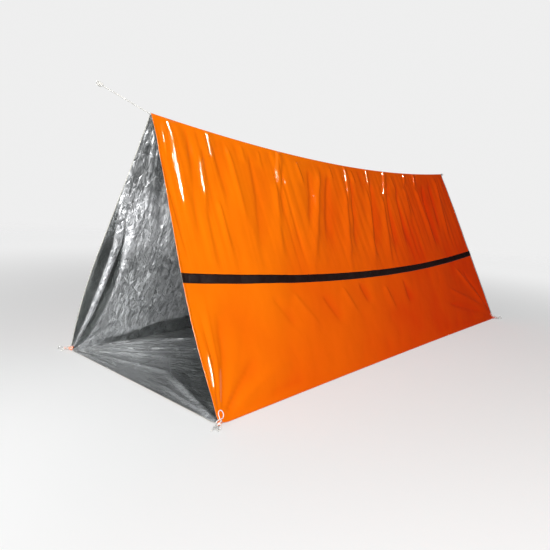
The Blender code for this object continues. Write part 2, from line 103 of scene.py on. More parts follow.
# Hems at the openings, and the film's rise to the gathers' necks
HEM_WIDTHS = (0.0026, 0.0075)
HEM_CURL = 0.0022
HEM_REACH = 0.014
HEM_FADE = (0.02, 0.10)
CORNER_LIFT = 0.0080
CORNER_LIFT_REACH = 0.024

# Tape bands
BAND_FROM_RIDGE = 0.581
BAND_WIDTH = 0.033
BAND_LIFT = 0.0006
BAND_ROWS = 7
BAND_MARGIN = 2

# Fades of the relief by distance from the film's edges
BELLY_MARGIN = 0.015
FADE_AT_FOOT = (0.008, 0.045)
FADE_AT_RIDGE = (0.008, 0.040)
GROUND_SIDE_FADE = (0.0, 0.020)
GROUND_END_FADE = (-0.004, 0.012)

# Walls: growth of the right one's folds by distance from the front, start of the small pleats by share of the
# slant, crumples of the left one, which are higher at the front, and the span of heights that relief tells apart
FOLD_GROWTH = 0.75
FOLDS_GROW = (0.35, 1.10)
PLEATS_START = (0.36, 0.60)
CRUMPLES = 0.00045
FRONT_CRUMPLES = 0.0004
FRONT_CRUMPLES_END = (0.25, 0.80)
RELIEF_SPAN = 0.014

# Flanks that catch the light: their fade at the ridge, taper to pointed ends, and how gently they sink again
GLINT_FADE = (0.003, 0.016)
GLINT_TAPER = 0.35
GLINT_LEAST = 1e-3
GLINT_TIP = 0.55
GLINT_SINK = 5

# Ripples: how far their waves differ in length, and how each one sways aside
RIPPLE_LENGTHS = (0.6, 1.7)
RIPPLE_SWAY = (0.3, 1.0)
RIPPLE_SWAY_PACE = 0.37
RIPPLE_SWAY_PHASE = 6.28

# A fold by shares of its line: its width at the start and how much it widens, where it rises, where it sinks by the
# share given and where it ends. Its skew makes one flank the steeper one, along a slanting line
FOLD_START_WIDTH = 0.40
FOLD_WIDENING = 0.70
FOLD_RISE = (-0.02, 0.14)
FOLD_SINK = (0.65, 0.98)
FOLD_SINKING = 0.85
FOLD_END = (0.97, 1.001)
FOLD_SKEW = 0.42
FOLD_SLANT = 0.35

# How many of the tables' units below make a metre, or 1
MM = 1000
TENTH_MM = 10000
PERCENT = 100

# Folds: height and width in tenths of a millimetre, and points by distance from the front floor edge in millimetres
# and thousandths of the slant from the floor
RIGHT_FOLDS = (
    (22, 300, ((108, 800), (96, 660), (92, 440))), (-40, 160, ((38, 900), (51, 450))),
    (30, 260, ((196, 760), (176, 660), (149, 440))), (-40, 200, ((190, 960), (111, 550))),
    (-40, 220, ((249, 930), (195, 620))), (60, 220, ((373, 965), (378, 887), (368, 600))),
    (-45, 220, ((300, 950), (306, 700))), (35, 200, ((253, 720), (249, 500))),
    (-55, 280, ((500, 960), (470, 750), (392, 470))), (55, 260, ((612, 840), (580, 720), (506, 455))),
    (-45, 220, ((700, 940), (634, 787), (592, 620))), (50, 180, ((795, 965), (803, 840))),
    (65, 260, ((970, 955), (830, 680), (681, 420))), (-50, 240, ((880, 940), (840, 800), (740, 600))),
    (-50, 240, ((1030, 930), (954, 777), (846, 540))), (55, 260, ((1130, 840), (1090, 720), (967, 420))),
    (-50, 240, ((1230, 940), (1155, 723), (1065, 500))), (55, 260, ((1352, 880), (1320, 740), (1183, 420))),
    (-55, 240, ((1420, 930), (1366, 765), (1256, 500))), (55, 260, ((1490, 840), (1450, 700), (1353, 420))),
    (-50, 220, ((1620, 940), (1551, 839), (1444, 440))), (50, 220, ((1772, 900), (1750, 700))),
    (-45, 220, ((1700, 920), (1656, 821), (1600, 490))), (55, 240, ((1925, 900), (1930, 750), (1942, 550))),
    (-50, 240, ((2040, 930), (1994, 800), (1966, 480))), (50, 220, ((2249, 977), (2200, 780), (2157, 540))),
    (-40, 200, ((2130, 930), (2080, 600))), (30, 140, ((460, 975), (455, 890))),
    (30, 140, ((560, 975), (545, 880))), (30, 140, ((1060, 975), (1050, 900))),
    (30, 140, ((1250, 975), (1250, 890))), (30, 140, ((1660, 975), (1660, 880))),
    (28, 130, ((2330, 975), (2320, 860))), (18, 180, ((3, 30), (18, 180), (12, 360))),
    (-30, 130, ((8, 30), (36, 180), (38, 340))), (28, 180, ((14, 30), (52, 180), (68, 400))),
    (-50, 220, ((26, 35), (83, 190), (118, 360))), (14, 300, ((34, 30), (135, 170), (200, 330))),
    (-55, 220, ((30, 22), (125, 95), (240, 170))), (40, 220, ((60, 22), (230, 85), (420, 130))),
    (-35, 220, ((100, 12), (300, 34), (480, 52))), (-30, 340, ((391, 355), (494, 216))),
    (30, 340, ((520, 360), (620, 200))), (-30, 340, ((702, 338), (782, 199))), (28, 340, ((860, 360), (910, 220))),
    (-30, 340, ((1007, 370), (1042, 261))), (-30, 340, ((1422, 363), (1418, 222))),
    (30, 340, ((1220, 340), (1240, 200))), (45, 220, ((2100, 370), (2250, 190), (2388, 30))),
    (-45, 200, ((2200, 330), (2310, 180), (2392, 40))), (-36, 260, ((1815, 175), (2100, 105), (2370, 40))),
    (40, 260, ((1900, 250), (2150, 155), (2375, 45))), (12, 220, ((1860, 75), (2120, 48), (2360, 25))),
)

# The left wall hangs as the right one does, with its own taut strips along the front edge
LEFT_FOLDS = (
    (-35, 130, ((12, 30), (40, 150), (56, 310), (66, 470), (60, 720))),
    (35, 130, ((22, 30), (66, 150), (92, 310), (94, 500), (86, 700))),
    (-40, 140, ((34, 30), (94, 150), (122, 310), (122, 480), (104, 720))),
    (-35, 140, ((80, 960), (100, 830), (150, 600))), (40, 140, ((76, 940), (114, 746), (146, 600))),
    (-35, 140, ((98, 950), (150, 740), (200, 520))), (40, 180, ((125, 960), (190, 740), (260, 480))),
    (-50, 200, ((190, 965), (240, 750), (300, 460))), (50, 220, ((270, 960), (320, 750), (370, 500))),
    (-50, 240, ((340, 965), (390, 740), (430, 470))), (60, 240, ((460, 960), (470, 780), (440, 460))),
    (-55, 260, ((560, 950), (550, 740), (510, 480))), (60, 260, ((680, 960), (640, 740), (570, 440))),
    (-50, 260, ((800, 950), (750, 740), (680, 500))), (60, 260, ((900, 960), (860, 740), (780, 430))),
    (-50, 260, ((1000, 950), (970, 760), (900, 500))), (60, 260, ((1120, 960), (1060, 720), (1000, 430))),
    (-50, 260, ((1220, 950), (1180, 760), (1130, 500))), (60, 260, ((1330, 960), (1290, 720), (1220, 440))),
    (-50, 260, ((1450, 950), (1400, 760), (1370, 500))), (60, 260, ((1560, 960), (1530, 720), (1500, 440))),
    (-50, 260, ((1680, 950), (1660, 760), (1620, 500))), (60, 260, ((1800, 960), (1790, 720), (1760, 440))),
    (-50, 260, ((1930, 950), (1920, 760), (1900, 500))), (55, 240, ((2060, 960), (2060, 720), (2050, 460))),
    (-50, 240, ((2170, 950), (2190, 760), (2190, 520))), (45, 220, ((2280, 960), (2300, 760), (2310, 520))),
    (-50, 200, ((40, 22), (220, 50), (420, 95), (700, 115))),
    (45, 180, ((30, 10), (200, 22), (430, 36), (700, 40))), (-40, 180, ((30, 40), (130, 110), (260, 180))),
    (40, 180, ((36, 34), (160, 95), (340, 150))), (-30, 300, ((520, 360), (560, 200))),
    (30, 300, ((760, 360), (740, 200))), (-30, 340, ((1060, 360), (1100, 220))),
    (30, 340, ((1360, 360), (1330, 220))), (45, 220, ((2080, 370), (2240, 190), (2388, 30))),
    (-45, 220, ((2230, 360), (2320, 180), (2392, 40))), (-50, 240, ((1840, 185), (2110, 105), (2375, 22))),
    (40, 240, ((1900, 270), (2140, 155), (2380, 30))),
)

# Short steep flanks of the right wall that catch the light: width in tenths of a millimetre, and points by distance
# from the front floor edge in the same, share of the slant in thousandths and added slope in hundredths
GLINT_FOLDS = (
    (150, ((1055, 1040, 33), (1070, 970, 36), (1085, 946, 37), (1025, 900, 32), (965, 845, 25), (960, 803, 23),
           (917, 743, 20), (865, 670, 18))),
    (70, ((765, 965, 37), (720, 905, 37), (640, 845, 31))),
    (90, ((2790, 1030, 39), (2830, 970, 40), (2793, 934, 42), (2755, 880, 38))),
    (100, ((2156, 885, 38), (2075, 835, 34), (1975, 779, 28), (1921, 718, 35))),
    (100, ((6800, 1020, 56), (6707, 970, 56), (6569, 934, 59), (6343, 886, 40), (6205, 830, 50))),
    (100, ((11910, 1020, 47), (11844, 958, 48), (11698, 910, 40), (11552, 863, 53), (11405, 800, 56))),
    (90, ((13980, 1020, 52), (13954, 970, 54), (13855, 934, 52), (13805, 895, 51))),
    (120, ((15830, 1020, 65), (15748, 970, 70), (15600, 946, 67), (15453, 922, 62), (15206, 874, 58),
           (15058, 825, 62))),
    (90, ((18230, 1020, 66), (18160, 970, 67), (17908, 915, 77))),
    (90, ((19570, 1020, 70), (19372, 958, 72), (19168, 900, 73))),
    (95, ((225, 215, 35), (205, 171, 33), (190, 148, 36), (160, 124, 36), (145, 85, 44))),
)
# Stretches along the walls where those flanks need the film's columns close together
GLINT_COLUMNS = ((0.000, 0.080), (0.150, 0.190), (0.228, 0.252), (0.582, 0.658), (1.114, 1.184), (1.358, 1.397),
                 (1.488, 1.586), (1.779, 1.833), (1.908, 1.970))

# Ground sheet: height and width in tenths of a millimetre, and points by distance from its middle line and from the
# front edge in millimetres
GROUND_FOLDS = (
    (112, 160, ((-452, 12), (-430, 190), (-360, 376), (-278, 510), (-120, 800))),
    (83, 160, ((-450, 10), (-340, 190), (-182, 404), (20, 600))),
    (60, 112, ((-446, 8), (-340, 100), (-240, 190), (-20, 330))),
    (67, 112, ((-448, 6), (-362, 48), (-238, 80), (-60, 136), (90, 180))),
    (53, 80, ((-448, 2), (-380, 18), (-300, 26), (-160, 32))),
    (120, 144, ((448, 4), (358, 34), (243, 70), (100, 118), (0, 150))),
    (53, 96, ((449, 2), (330, 26), (180, 50), (40, 62))), (90, 144, ((446, 12), (380, 60), (300, 110), (250, 128))),
    (90, 208, ((440, 30), (370, 200), (300, 420), (280, 640))),
    (75, 240, ((-330, 560), (-360, 1000), (-320, 1440))), (75, 240, ((340, 700), (350, 1150), (330, 1600))),
    (67, 208, ((-100, 900), (50, 1200), (20, 1600))), (83, 208, ((444, 2390), (300, 2150), (100, 1800))),
    (75, 192, ((-444, 2390), (-300, 2160), (-120, 1900))), (60, 144, ((444, 2392), (250, 2330), (40, 2290))),
    (60, 144, ((-444, 2392), (-260, 2320), (-80, 2280))),
)

# Ridge cord, its free stretch, stopper knots and corner ties, as their solids run
CORD_DIAMETER = 0.004
CORD_POINTS = 76
CORD_STUB = 0.010
GUY_REACH = 0.160
GUY_RISE = 0.050
GUY_POINTS = 24
KNOT_TURNS = 3
KNOT_TAIL = 0.008
KNOT_SPARE_TURN = 0.6
KNOT_END_ROOM = 0.6
KNOT_TURN_BACK = (0.2, 0.8)
TURN_GAP = 0.0007
ROUTE_STEPS = 12
TIE_DIAMETER = 0.003
TIE_TURNS = 2.75
TIE_POINTS_A_TURN = 12
TIE_FIRST_TURN_SHARE = 0.25
TIE_LOOP_WIDTH = 0.018
TIE_LOOP_LENGTH = 0.024
TIE_LOOP_INWARD = 0.015
TIE_LOOP_ABOVE = 0.031
TIE_LOOP_START = -60.0
TIE_LOOP_END = 205.0
TIE_TAIL_OUT = 0.034
TIE_TAIL_ASIDE = 0.022
TIE_TAIL_RISE = 0.017
TIE_PEG_GAP = 0.0006
TIE_PEG_HEIGHT = 0.0052
TIE_TAIL_SHARES = ((1.0, 1.0, 0.0), (0.8, 0.77, 0.08), (0.5, 0.59, 0.48), (0.24, 0.36, 1.0))
GATHER_AXIS_HEIGHT = 0.0082
GATHER_LENGTH = 0.022
GATHER_BASE_RADIUS = 0.0072
GATHER_NECK_RADIUS = 0.0034
GATHER_TUFT_RADIUS = 0.0050
GATHER_NECK_START = 0.20
PEG_DIAMETER = 0.004
PEG_OUTREACH = 0.0315
PEG_LEAN = 12.0

# Gathers: their pleats, which sway and differ in depth, and the frilled tuft
GATHER_SIDES = 108
GATHER_STEPS = 5
GATHER_SEED = 3
GATHER_SWAY = 0.25
GATHER_EVENNESS = 0.6
GATHER_PLEATS = 9
GATHER_TWIST = 18
GATHER_FULLNESS = 0.7
GATHER_FRILLS = 5
GATHER_FRILL_HEIGHT = 0.0012
GATHER_INSIDE_BELOW = -0.55
GATHER_UV_STEPS = (0.0005, 0.001)
GATHER_TUFT = (6.0, 8.0)

# Gathers: place along the axis, radius and depth of the pleats, all in metres but the depth
GATHER_PROFILE = (
    (-0.0120, 0.0085, 0.10), (-0.0060, 0.0084, 0.22), (-0.0015, 0.0078, 0.30), (0.0015, 0.0062, 0.28),
    (0.0040, 0.0038, 0.14), (0.0160, 0.0035, 0.10), (0.0185, 0.0043, 0.24), (0.0210, 0.0052, 0.34),
    (0.0228, 0.0050, 0.36), (0.0222, 0.0030, 0.30), (0.0205, 0.0012, 0.10),
)

# Laid cords' own detail
CORD_SIDES = 24
CORD_GROOVE = 0.20
FIBRES_AROUND = 7.0
FIBRES_ALONG = 160.0
RIDGE_SPACING = 0.0022
GUY_SPACING = 0.0012
KNOT_SPACING = 0.0009

CORNERS = {"front_right": (1, -1), "front_left": (-1, -1), "back_right": (1, 1), "back_left": (-1, 1)}
SIDES = {"right": 1, "left": -1}
UP = Vector((0, 0, 1))
BODY = "tent"

# Where the outer face's colour goes deeper: in random patches, and as painted shade in folds and by steps along Y
# less Z towards the back, with each one's share
DEEPER_PATCHES = 0.05
PAINTED_FOLD_SHADE = 0.18
PAINTED_BACK_SHADE = ((-1.60, -1.25, 0.10), (-1.30, -0.70, 0.38), (-0.70, 0.15, 0.34), (0.15, 0.80, 0.12))

# The inner face's crumpled facets, as scale and tilt, and the tilt of all of them
FACETS = ((34.0, 0.16), (84.0, 0.26), (170.0, 0.26))
FACET_TILT = 2.3
FILM_FINISHES = ("film_outside", "film_inside", "film_edge_and_highlight")

# How dim the inner face is, as painted shade and, on the left wall's taut strips, as painted dark reflection: on
# the walls, changes in zones of the left one, and on the ground sheet
WALL_DIM = 0.32
MIDDLE_LESS_DIM = 0.18
TOP_DIM = 0.13
STRIP_LIT = 0.65
TAUT_DIM = 0.48
FOOT_DIM = 0.35
GROUND_DIM = 0.50
BEHIND_TAUT_DIM = 0.20

# How crumpled it is: on the walls, in zones of the left one, and on the ground sheet
WALL_CRINKLE = 0.42
FRONT_MORE_CRINKLE = 0.15
TOP_LESS_CRINKLE = 0.3
TAUT_CRINKLE = 0.04
LIT_MORE_CRINKLE = 0.25
EDGE_MORE_CRINKLE = 0.25
GROUND_CRINKLE = 0.52
CORNER_MORE_CRINKLE = 0.60
TAUT_LESS_CRINKLE = 0.65

# Colours of dust and soil
TAPE_DUST = (0.026, 0.016, 0.015, 1.0)
CORD_SOIL = (0.55, 0.52, 0.46, 1.0)
WIRE_SOIL = (0.10, 0.075, 0.050, 1.0)

# Left wall: distances from the front edge, by share of the slant, where the first taut strip ends and where the
# second one starts and ends
TAUT_SHARES = (0.0, 0.06, 0.19, 0.31, 0.41, 0.50, 0.66, 0.80, 1.0)
TAUT_EDGES = (
    (0.004, 0.011, 0.031, 0.040, 0.047, 0.050, 0.030, 0.030, 0.030),
    (0.010, 0.032, 0.058, 0.070, 0.076, 0.086, 0.060, 0.050, 0.030),
    (0.016, 0.060, 0.098, 0.113, 0.107, 0.095, 0.060, 0.050, 0.030),
)
TAUT_BLUR = 0.004
TAUT_LAST_BLUR = 0.006

# Left wall: where its painted bright strip ends by share of the slant, and the share where its painted dark foot
# ends by distance
LIT_EDGE = ((0.09, 0.18, 0.31, 0.40, 0.48, 0.56, 0.70), (0.103, 0.118, 0.134, 0.138, 0.146, 0.163, 0.175))
LOW_CREST = ((0.0, 0.05, 0.218, 0.31, 0.41, 0.584, 0.70, 1.2), (0.0, 0.012, 0.044, 0.069, 0.092, 0.10, 0.115, 0.13))

# Ground sheet: how far its taut strip reaches back, by distance from the middle line
TAUT_GROUND = ((-0.46, -0.221, 0.014, 0.122, 0.231, 0.347, 0.44), (0.50, 0.326, 0.154, 0.116, 0.079, 0.042, 0.01))


# ---------------------------------------------------------------- settings


def colour_property(name, description, default):
    return bpy.props.FloatVectorProperty(
        name=name, description=description, default=default, subtype="COLOR", size=3, min=0, max=1
    )


def number_property(name, description, default, low, high, **more):
    return bpy.props.FloatProperty(name=name, description=description, default=default, min=low, max=high, **more)


class TUBETENT_PG_film(bpy.types.PropertyGroup):
    outside: colour_property("Outside", "Colour of the film's outer face", (0.98, 0.198, 0.002))
    # Painted shade: the colour the outer face takes in its folds and towards the back, and also in its random
    # patches
    outside_deep: colour_property(
        "Outside, deep", "Colour of the outer face in its folds and towards the back", (0.80, 0.048, 0.002)
    )
    inside: colour_property("Inside", "Colour of the metal-coated inner face", (0.93, 0.94, 0.96))
    # Painted shade: the dark colour the inner face is painted towards in set zones, also standing in for dark
    # reflections on its taut strips
    inside_dim: colour_property(
        "Inside, dim", "Colour of the inner face where it turns from the light", (0.055, 0.070, 0.058)
    )
    # Painted highlight, partly the real cut edge: the pale colour of the cut edges and of the hems that show them
    edge: colour_property("Cut edge", "Colour of the film's cut edges", (0.50, 0.49, 0.44))
    fold_scale: number_property("Fold scale", "Times the folds' own height", 1.0, 0, 2, subtype="FACTOR")
    crinkle: number_property("Crinkle", "How strongly the inner face is crinkled", 1.0, 0, 2, subtype="FACTOR")


class TUBETENT_PG_trim(bpy.types.PropertyGroup):
    band: colour_property("Band", "Colour of the tape bands", (0.012, 0.0045, 0.004))
    cord: colour_property("Cord", "Colour of the cord and the ties", (0.82, 0.81, 0.78))
    # Painted shade: the darker colour between the cord's strands
    cord_groove: colour_property("Cord groove", "Colour between the cord's strands", (0.36, 0.35, 0.33))
    strands: bpy.props.IntProperty(
        name="Strands", description="Strands laid up in the cord", default=3, min=2, max=8
    )
    lay_length: number_property(
        "Lay length", "Length of one turn of the cord's strands", 0.014, 0.004, 0.05, unit="LENGTH"
    )
    steel: colour_property("Steel", "Colour of the wire pegs", (0.62, 0.62, 0.60))


class TUBETENT_PG_stage(bpy.types.PropertyGroup):
    floor: colour_property("Floor", "Colour of the floor", (0.55, 0.55, 0.545))
    floor_radius: number_property(
        "Floor radius", "How far the floor reaches before it fades into the backdrop", 9.0, 2, 40, unit="LENGTH"
    )
    key_power: number_property("Key lamp", "Power of the large lamp", 172.0, 0, 1000, unit="POWER")
    fill_power: number_property(
        "Fill lamp", "Power of the low lamp that lights the inside", 4.2, 0, 500, unit="POWER"
    )
    strip_power: number_property(
        "Strip lamps", "Power of each narrow lamp that streaks the folds", 36.0, 0, 500, unit="POWER"
    )


class TUBETENT_PG_settings(bpy.types.PropertyGroup):
    film: bpy.props.PointerProperty(type=TUBETENT_PG_film)
    trim: bpy.props.PointerProperty(type=TUBETENT_PG_trim)
    stage: bpy.props.PointerProperty(type=TUBETENT_PG_stage)


# ---------------------------------------------------------------- materials


class Nodes:
    """A node tree, with short calls that add nodes and link them."""

    def __init__(self, tree):
        self.tree = tree

    def add(self, kind, inputs=None, **settings):
        node = self.tree.nodes.new(kind)
        for name, value in settings.items():
            setattr(node, name, value)
        for key, value in (inputs or {}).items():
            self.put(node.inputs[key], value)
        return node

    def put(self, socket, value):
        if isinstance(value, bpy.types.NodeSocket):
            self.tree.links.new(value, socket)
        else:
            socket.default_value = value

    def math(self, operation, a, b=0.0, clamp=False):
        return self.add("ShaderNodeMath", {0: a, 1: b}, operation=operation, use_clamp=clamp).outputs[0]

    def vector(self, operation, a, b=(0.0, 0.0, 0.0)):
        return self.add("ShaderNodeVectorMath", {0: a, 1: b}, operation=operation).outputs["Vector"]

    def scaled(self, a, times):
        return self.add("ShaderNodeVectorMath", {0: a, "Scale": times}, operation="SCALE").outputs["Vector"]

    def parts(self, a):
        return self.add("ShaderNodeSeparateXYZ", {0: a}).outputs

    def span(self, value, low, high, out_low=0.0, out_high=1.0):
        inputs = {"Value": value, "From Min": low, "From Max": high, "To Min": out_low, "To Max": out_high}
        return self.add("ShaderNodeMapRange", inputs, interpolation_type="SMOOTHSTEP").outputs["Result"]

    def mix(self, share, a, b):
        return self.add("ShaderNodeMix", {0: share, 6: a, 7: b}, data_type="RGBA").outputs[2]

    def seen(self):
        """1 for what the camera sees straight, in a gloss or through something, and 0 for the light that falls."""
        path = self.add("ShaderNodeLightPath").outputs
        straight = self.math("MAXIMUM", path["Is Camera Ray"], path["Is Glossy Ray"])
        return self.math("MAXIMUM", straight, path["Is Transmission Ray"])


class Finish(Nodes):
    """A material's nodes."""

    def __init__(self, name):
        self.material = bpy.data.materials.new(name)
        self.material.use_nodes = True
        super().__init__(self.material.node_tree)
        self.shader = self.tree.nodes["Principled BSDF"]

    def set(self, **values):
        for name, value in values.items():
            self.put(self.shader.inputs[name.replace("_", " ")], value)

    def attribute(self, name, output="Fac"):
        return self.add("ShaderNodeAttribute", attribute_name=name).outputs[output]

    def coordinates(self, kind, scale=(1, 1, 1)):
        source = self.add("ShaderNodeTexCoord").outputs[kind]
        return self.add("ShaderNodeMapping", {"Vector": source, "Scale": scale}).outputs[0]

    def noise(self, vector, scale, detail=3.0, roughness=0.55, distortion=0.0):
        inputs = {"Vector": vector, "Scale": scale, "Detail": detail, "Roughness": roughness}
        return self.add("ShaderNodeTexNoise", {**inputs, "Distortion": distortion}).outputs["Fac"]

    def bump(self, height, strength, distance, normal=None):
        inputs = {"Height": height, "Strength": strength, "Distance": distance}
        if normal is not None:
            inputs["Normal"] = normal
        return self.add("ShaderNodeBump", inputs).outputs["Normal"]


def rgba(colour, times=1.0):
    return (*(times * c for c in colour), 1.0)


def film_outside(film):
    """Glossy film with dents down the slant and fine wrinkles, deeper in colour in random patches, and with painted
    shade in its folds and towards the back.
    """
    f = Finish("film_outside")
    along = f.coordinates("UV", (1.0, 0.30, 1.0))
    even = f.coordinates("UV")
    dents = f.noise(along, 22.0, 3.0, 0.5, 0.6)
    wrinkles = f.noise(along, 75.0, 4.0, 0.6, 0.9)
    ripple = f.noise(even, 160.0, 3.0, 0.6)
    tone = f.span(f.noise(even, 3.5), 0.30, 0.72)
    place = f.parts(f.coordinates("Object"))
    back = f.math("SUBTRACT", place["Y"], place["Z"])
    depth = f.math("MULTIPLY", tone, DEEPER_PATCHES)
    # Painted shade in the folds' valleys, by the relief, and towards the back, by steps along Y less Z
    depth = f.math("ADD", depth, f.span(f.attribute("relief"), 0.55, 0.15, 0.0, PAINTED_FOLD_SHADE))
    for start, end, more in PAINTED_BACK_SHADE:
        depth = f.math("ADD", depth, f.span(back, start, end, 0.0, more), clamp=True)
    colour = f.mix(depth, rgba(film.outside), rgba(film.outside_deep))
    rough = f.math("ADD", f.span(dents, 0.25, 0.8, 0.0, 0.02), f.span(wrinkles, 0.3, 0.8, 0.045, 0.07))
    normal = f.bump(dents, 0.10, 0.004)
    normal = f.bump(wrinkles, 0.08, 0.0015, normal)
    normal = f.bump(ripple, 0.06, 0.0008, normal)
    f.set(Base_Color=colour, Roughness=rough, Normal=normal, IOR=1.40)
    return f.material


def film_inside(film):
    """Metal-coated film, crumpled into small bright facets but for the strips that are pulled taut, and painted
    darker in set zones as shade.
    """
    f = Finish("film_inside")
    uv = f.coordinates("UV", (1.0, 0.55, 1.0))
    crinkle, dim = f.attribute("crinkle"), f.attribute("dim")
    strength = f.math("MULTIPLY", crinkle, film.crinkle)
    sway = f.add("ShaderNodeTexNoise", {"Vector": uv, "Scale": 11.0, "Detail": 1.5}).outputs["Color"]
    bent = f.vector("ADD", uv, f.vector("MULTIPLY", sway, (0.05, 0.05, 0.0)))
    tilt = None
    for scale, amount in FACETS:
        facets = f.add("ShaderNodeTexVoronoi", {"Vector": bent, "Scale": scale}).outputs["Color"]
        lean = f.scaled(f.vector("SUBTRACT", facets, (0.5, 0.5, 0.5)), amount)
        tilt = f.vector("ADD", tilt, lean) if tilt else lean
    tilt = f.scaled(tilt, f.math("MULTIPLY", strength, FACET_TILT))
    face = f.add("ShaderNodeNewGeometry").outputs["Normal"]
    normal = f.vector("NORMALIZE", f.vector("ADD", face, tilt))
    streaks = f.noise(f.coordinates("UV", (1.0, 0.22, 1.0)), 60.0, 4.0, 0.6, 1.2)
    normal = f.bump(streaks, 0.35, 0.004, normal)
    creases = f.add("ShaderNodeTexVoronoi", {"Vector": bent, "Scale": 38.0}, feature="DISTANCE_TO_EDGE")
    edge = f.span(creases.outputs["Distance"], 0.0, 0.07)
    normal = f.bump(edge, f.math("MULTIPLY", strength, 0.8, clamp=True), 0.002, normal)
    worn = f.span(f.noise(uv, 30.0, 4.0), 0.35, 0.75)
    colour = f.mix(worn, rgba(film.inside), rgba(film.inside, 0.86))
    # Painted shade: the colour darkens towards the dim colour by a field set in zones, not by the light
    colour = f.mix(dim, colour, rgba(film.inside_dim))
    f.set(Base_Color=colour, Roughness=f.span(crinkle, 0.05, 0.9, 0.16, 0.34), Normal=normal)
    f.set(Metallic=f.span(dim, 0.0, 0.84, 0.50, 0.90))
    return f.material


def film_edge_and_highlight(film):
    """The cut edge, painted pale as a highlight where the film curls and catches the light; the hems that show the
    pale edge take it too.
    """
    f = Finish("film_edge_and_highlight")
    nicks = f.noise(f.coordinates("Object"), 260.0)
    colour = f.mix(f.span(nicks, 0.35, 0.7), rgba(film.edge), rgba(film.edge, 0.72))
    f.set(Base_Color=colour, Roughness=0.36, Normal=f.bump(nicks, 0.4, 0.0006))
    return f.material


def tape_black(trim):
    """Matt tape with a close weave that shows through and dust in its dents."""
    f = Finish("tape_black")
    uv = f.coordinates("UV")
    inputs = {"Vector": uv, "Scale": 180.0, "Distortion": 0.6}
    weave, cross = (f.add("ShaderNodeTexWave", inputs, bands_direction=way).outputs["Fac"] for way in "XY")
    cloth = f.math("MULTIPLY", weave, cross)
    puckers = f.noise(f.coordinates("UV", (1.0, 0.25, 1.0)), 60.0, 4.0, 0.6, 0.8)
    dust = f.span(f.noise(uv, 24.0, 5.0), 0.52, 0.85, 0.0, 0.35)
    colour = f.mix(dust, rgba(trim.band), TAPE_DUST)
    normal = f.bump(cloth, 0.25, 0.0003, f.bump(puckers, 0.5, 0.003))
    f.set(Base_Color=colour, Roughness=f.span(puckers, 0.3, 0.8, 0.30, 0.52), Normal=normal)
    f.set(Specular_IOR_Level=0.09)
    return f.material


def cord_white(trim):
    """Laid cord: pale fibres that follow the twist, darker in the grooves as painted shade, with a little soil."""
    f = Finish("cord_white")
    fibres = f.noise(f.attribute("fibre", "Vector"), 1.0, 4.0, 0.7)
    soil = f.span(f.noise(f.coordinates("Object"), 45.0, 4.0), 0.45, 0.85, 0.0, 0.25)
    pale = f.mix(soil, rgba(trim.cord), CORD_SOIL)
    colour = f.mix(f.span(f.attribute("groove"), 0.25, 1.0, 0.0, 0.85), pale, rgba(trim.cord_groove))
    f.set(Base_Color=colour, Roughness=0.72, Normal=f.bump(fibres, 0.6, 0.0004), Sheen_Weight=0.25)
    return f.material


def wire_steel(trim):
    """Bright drawn wire with a dull bloom, fine lengthwise scratches and soil low on the shank."""
    f = Finish("wire_steel")
    where = f.coordinates("Object")
    scratches = f.noise(f.coordinates("Object", (1.0, 1.0, 0.06)), 900.0, 3.0, 0.6)
    bloom = f.span(f.noise(where, 90.0, 4.0), 0.35, 0.75)
    buried = f.span(f.parts(where)["Z"], 0.004, -0.030)
    soil = f.math("MULTIPLY", buried, f.span(f.noise(where, 160.0, 4.0), 0.42, 0.66))
    colour = f.mix(bloom, rgba(trim.steel), rgba(trim.steel, 0.78))
    colour = f.mix(f.math("MULTIPLY", soil, 0.7), colour, WIRE_SOIL)
    f.set(Base_Color=colour, Metallic=f.math("SUBTRACT", 1.0, f.math("MULTIPLY", soil, 0.8)))
    f.set(Roughness=f.span(bloom, 0.0, 1.0, 0.22, 0.40), Normal=f.bump(scratches, 0.25, 0.0002))
    return f.material


def floor_finish(stage):
    """Pale matt floor that fades out far from the tent, so that no horizon shows."""
    f = Finish("floor")
    where = f.coordinates("Object")
    away = f.add("ShaderNodeVectorMath", {0: where}, operation="LENGTH").outputs["Value"]
    grain = f.span(f.noise(where, 1.6, 4.0), 0.3, 0.8, 0.0, 0.25)
    glow = f.math("MULTIPLY", f.seen(), f.span(away, 0.8, 4.5, 0.34, 0.68))
    fade = f.span(away, 0.35 * stage.floor_radius, stage.floor_radius, 1, 0)
    f.set(Base_Color=f.mix(grain, rgba(stage.floor), rgba(stage.floor, 0.97)), Roughness=0.9, Alpha=fade)
    f.set(Emission_Color=(1.0, 1.0, 1.0, 1.0), Emission_Strength=glow, Specular_IOR_Level=0.0)
    return f.material


def finishes():
    """The finishes by name, each made once."""
    settings = bpy.context.scene.tube_tent
    makers = {film_outside: settings.film, film_inside: settings.film, film_edge_and_highlight: settings.film,
              tape_black: settings.trim, cord_white: settings.trim, wire_steel: settings.trim}
    for maker, values in makers.items():
        if maker.__name__ not in bpy.data.materials:
            maker(values)
    return {maker.__name__: bpy.data.materials[maker.__name__] for maker in makers}


# ---------------------------------------------------------------- film surfaces


def ramp(value, start, end):
    share = np.clip((value - start) / (end - start), 0.0, 1.0)
    return share * share * (3 - 2 * share)


def ridge_at(u):
    front = -TENT_LENGTH / 2 + FRONT_APEX_SETBACK
    back = TENT_LENGTH / 2 - BACK_APEX_SETBACK
    height = RIDGE_HEIGHT - RIDGE_SAG * 4 * u * (1 - u)
    return np.stack([0 * u, front + (back - front) * u, height], axis=-1)


def foot_at(side, u):
    half = FLOOR_WIDTH / 2 - FLOOR_WAIST * 4 * u * (1 - u)
    return np.stack([side * half, TENT_LENGTH * (u - 0.5), 0 * u], axis=-1)


def slope_at(side, u):
    """Ridge, way down to the foot, slant and outward direction at shares u of the length."""
    top = ridge_at(u)
    down = foot_at(side, u) - top
    slant = np.linalg.norm(down, axis=-1)
    flat = np.stack([-side * down[..., 2], 0 * slant, side * down[..., 0]], axis=-1)
    return top, down, slant, flat / np.linalg.norm(flat, axis=-1, keepdims=True)


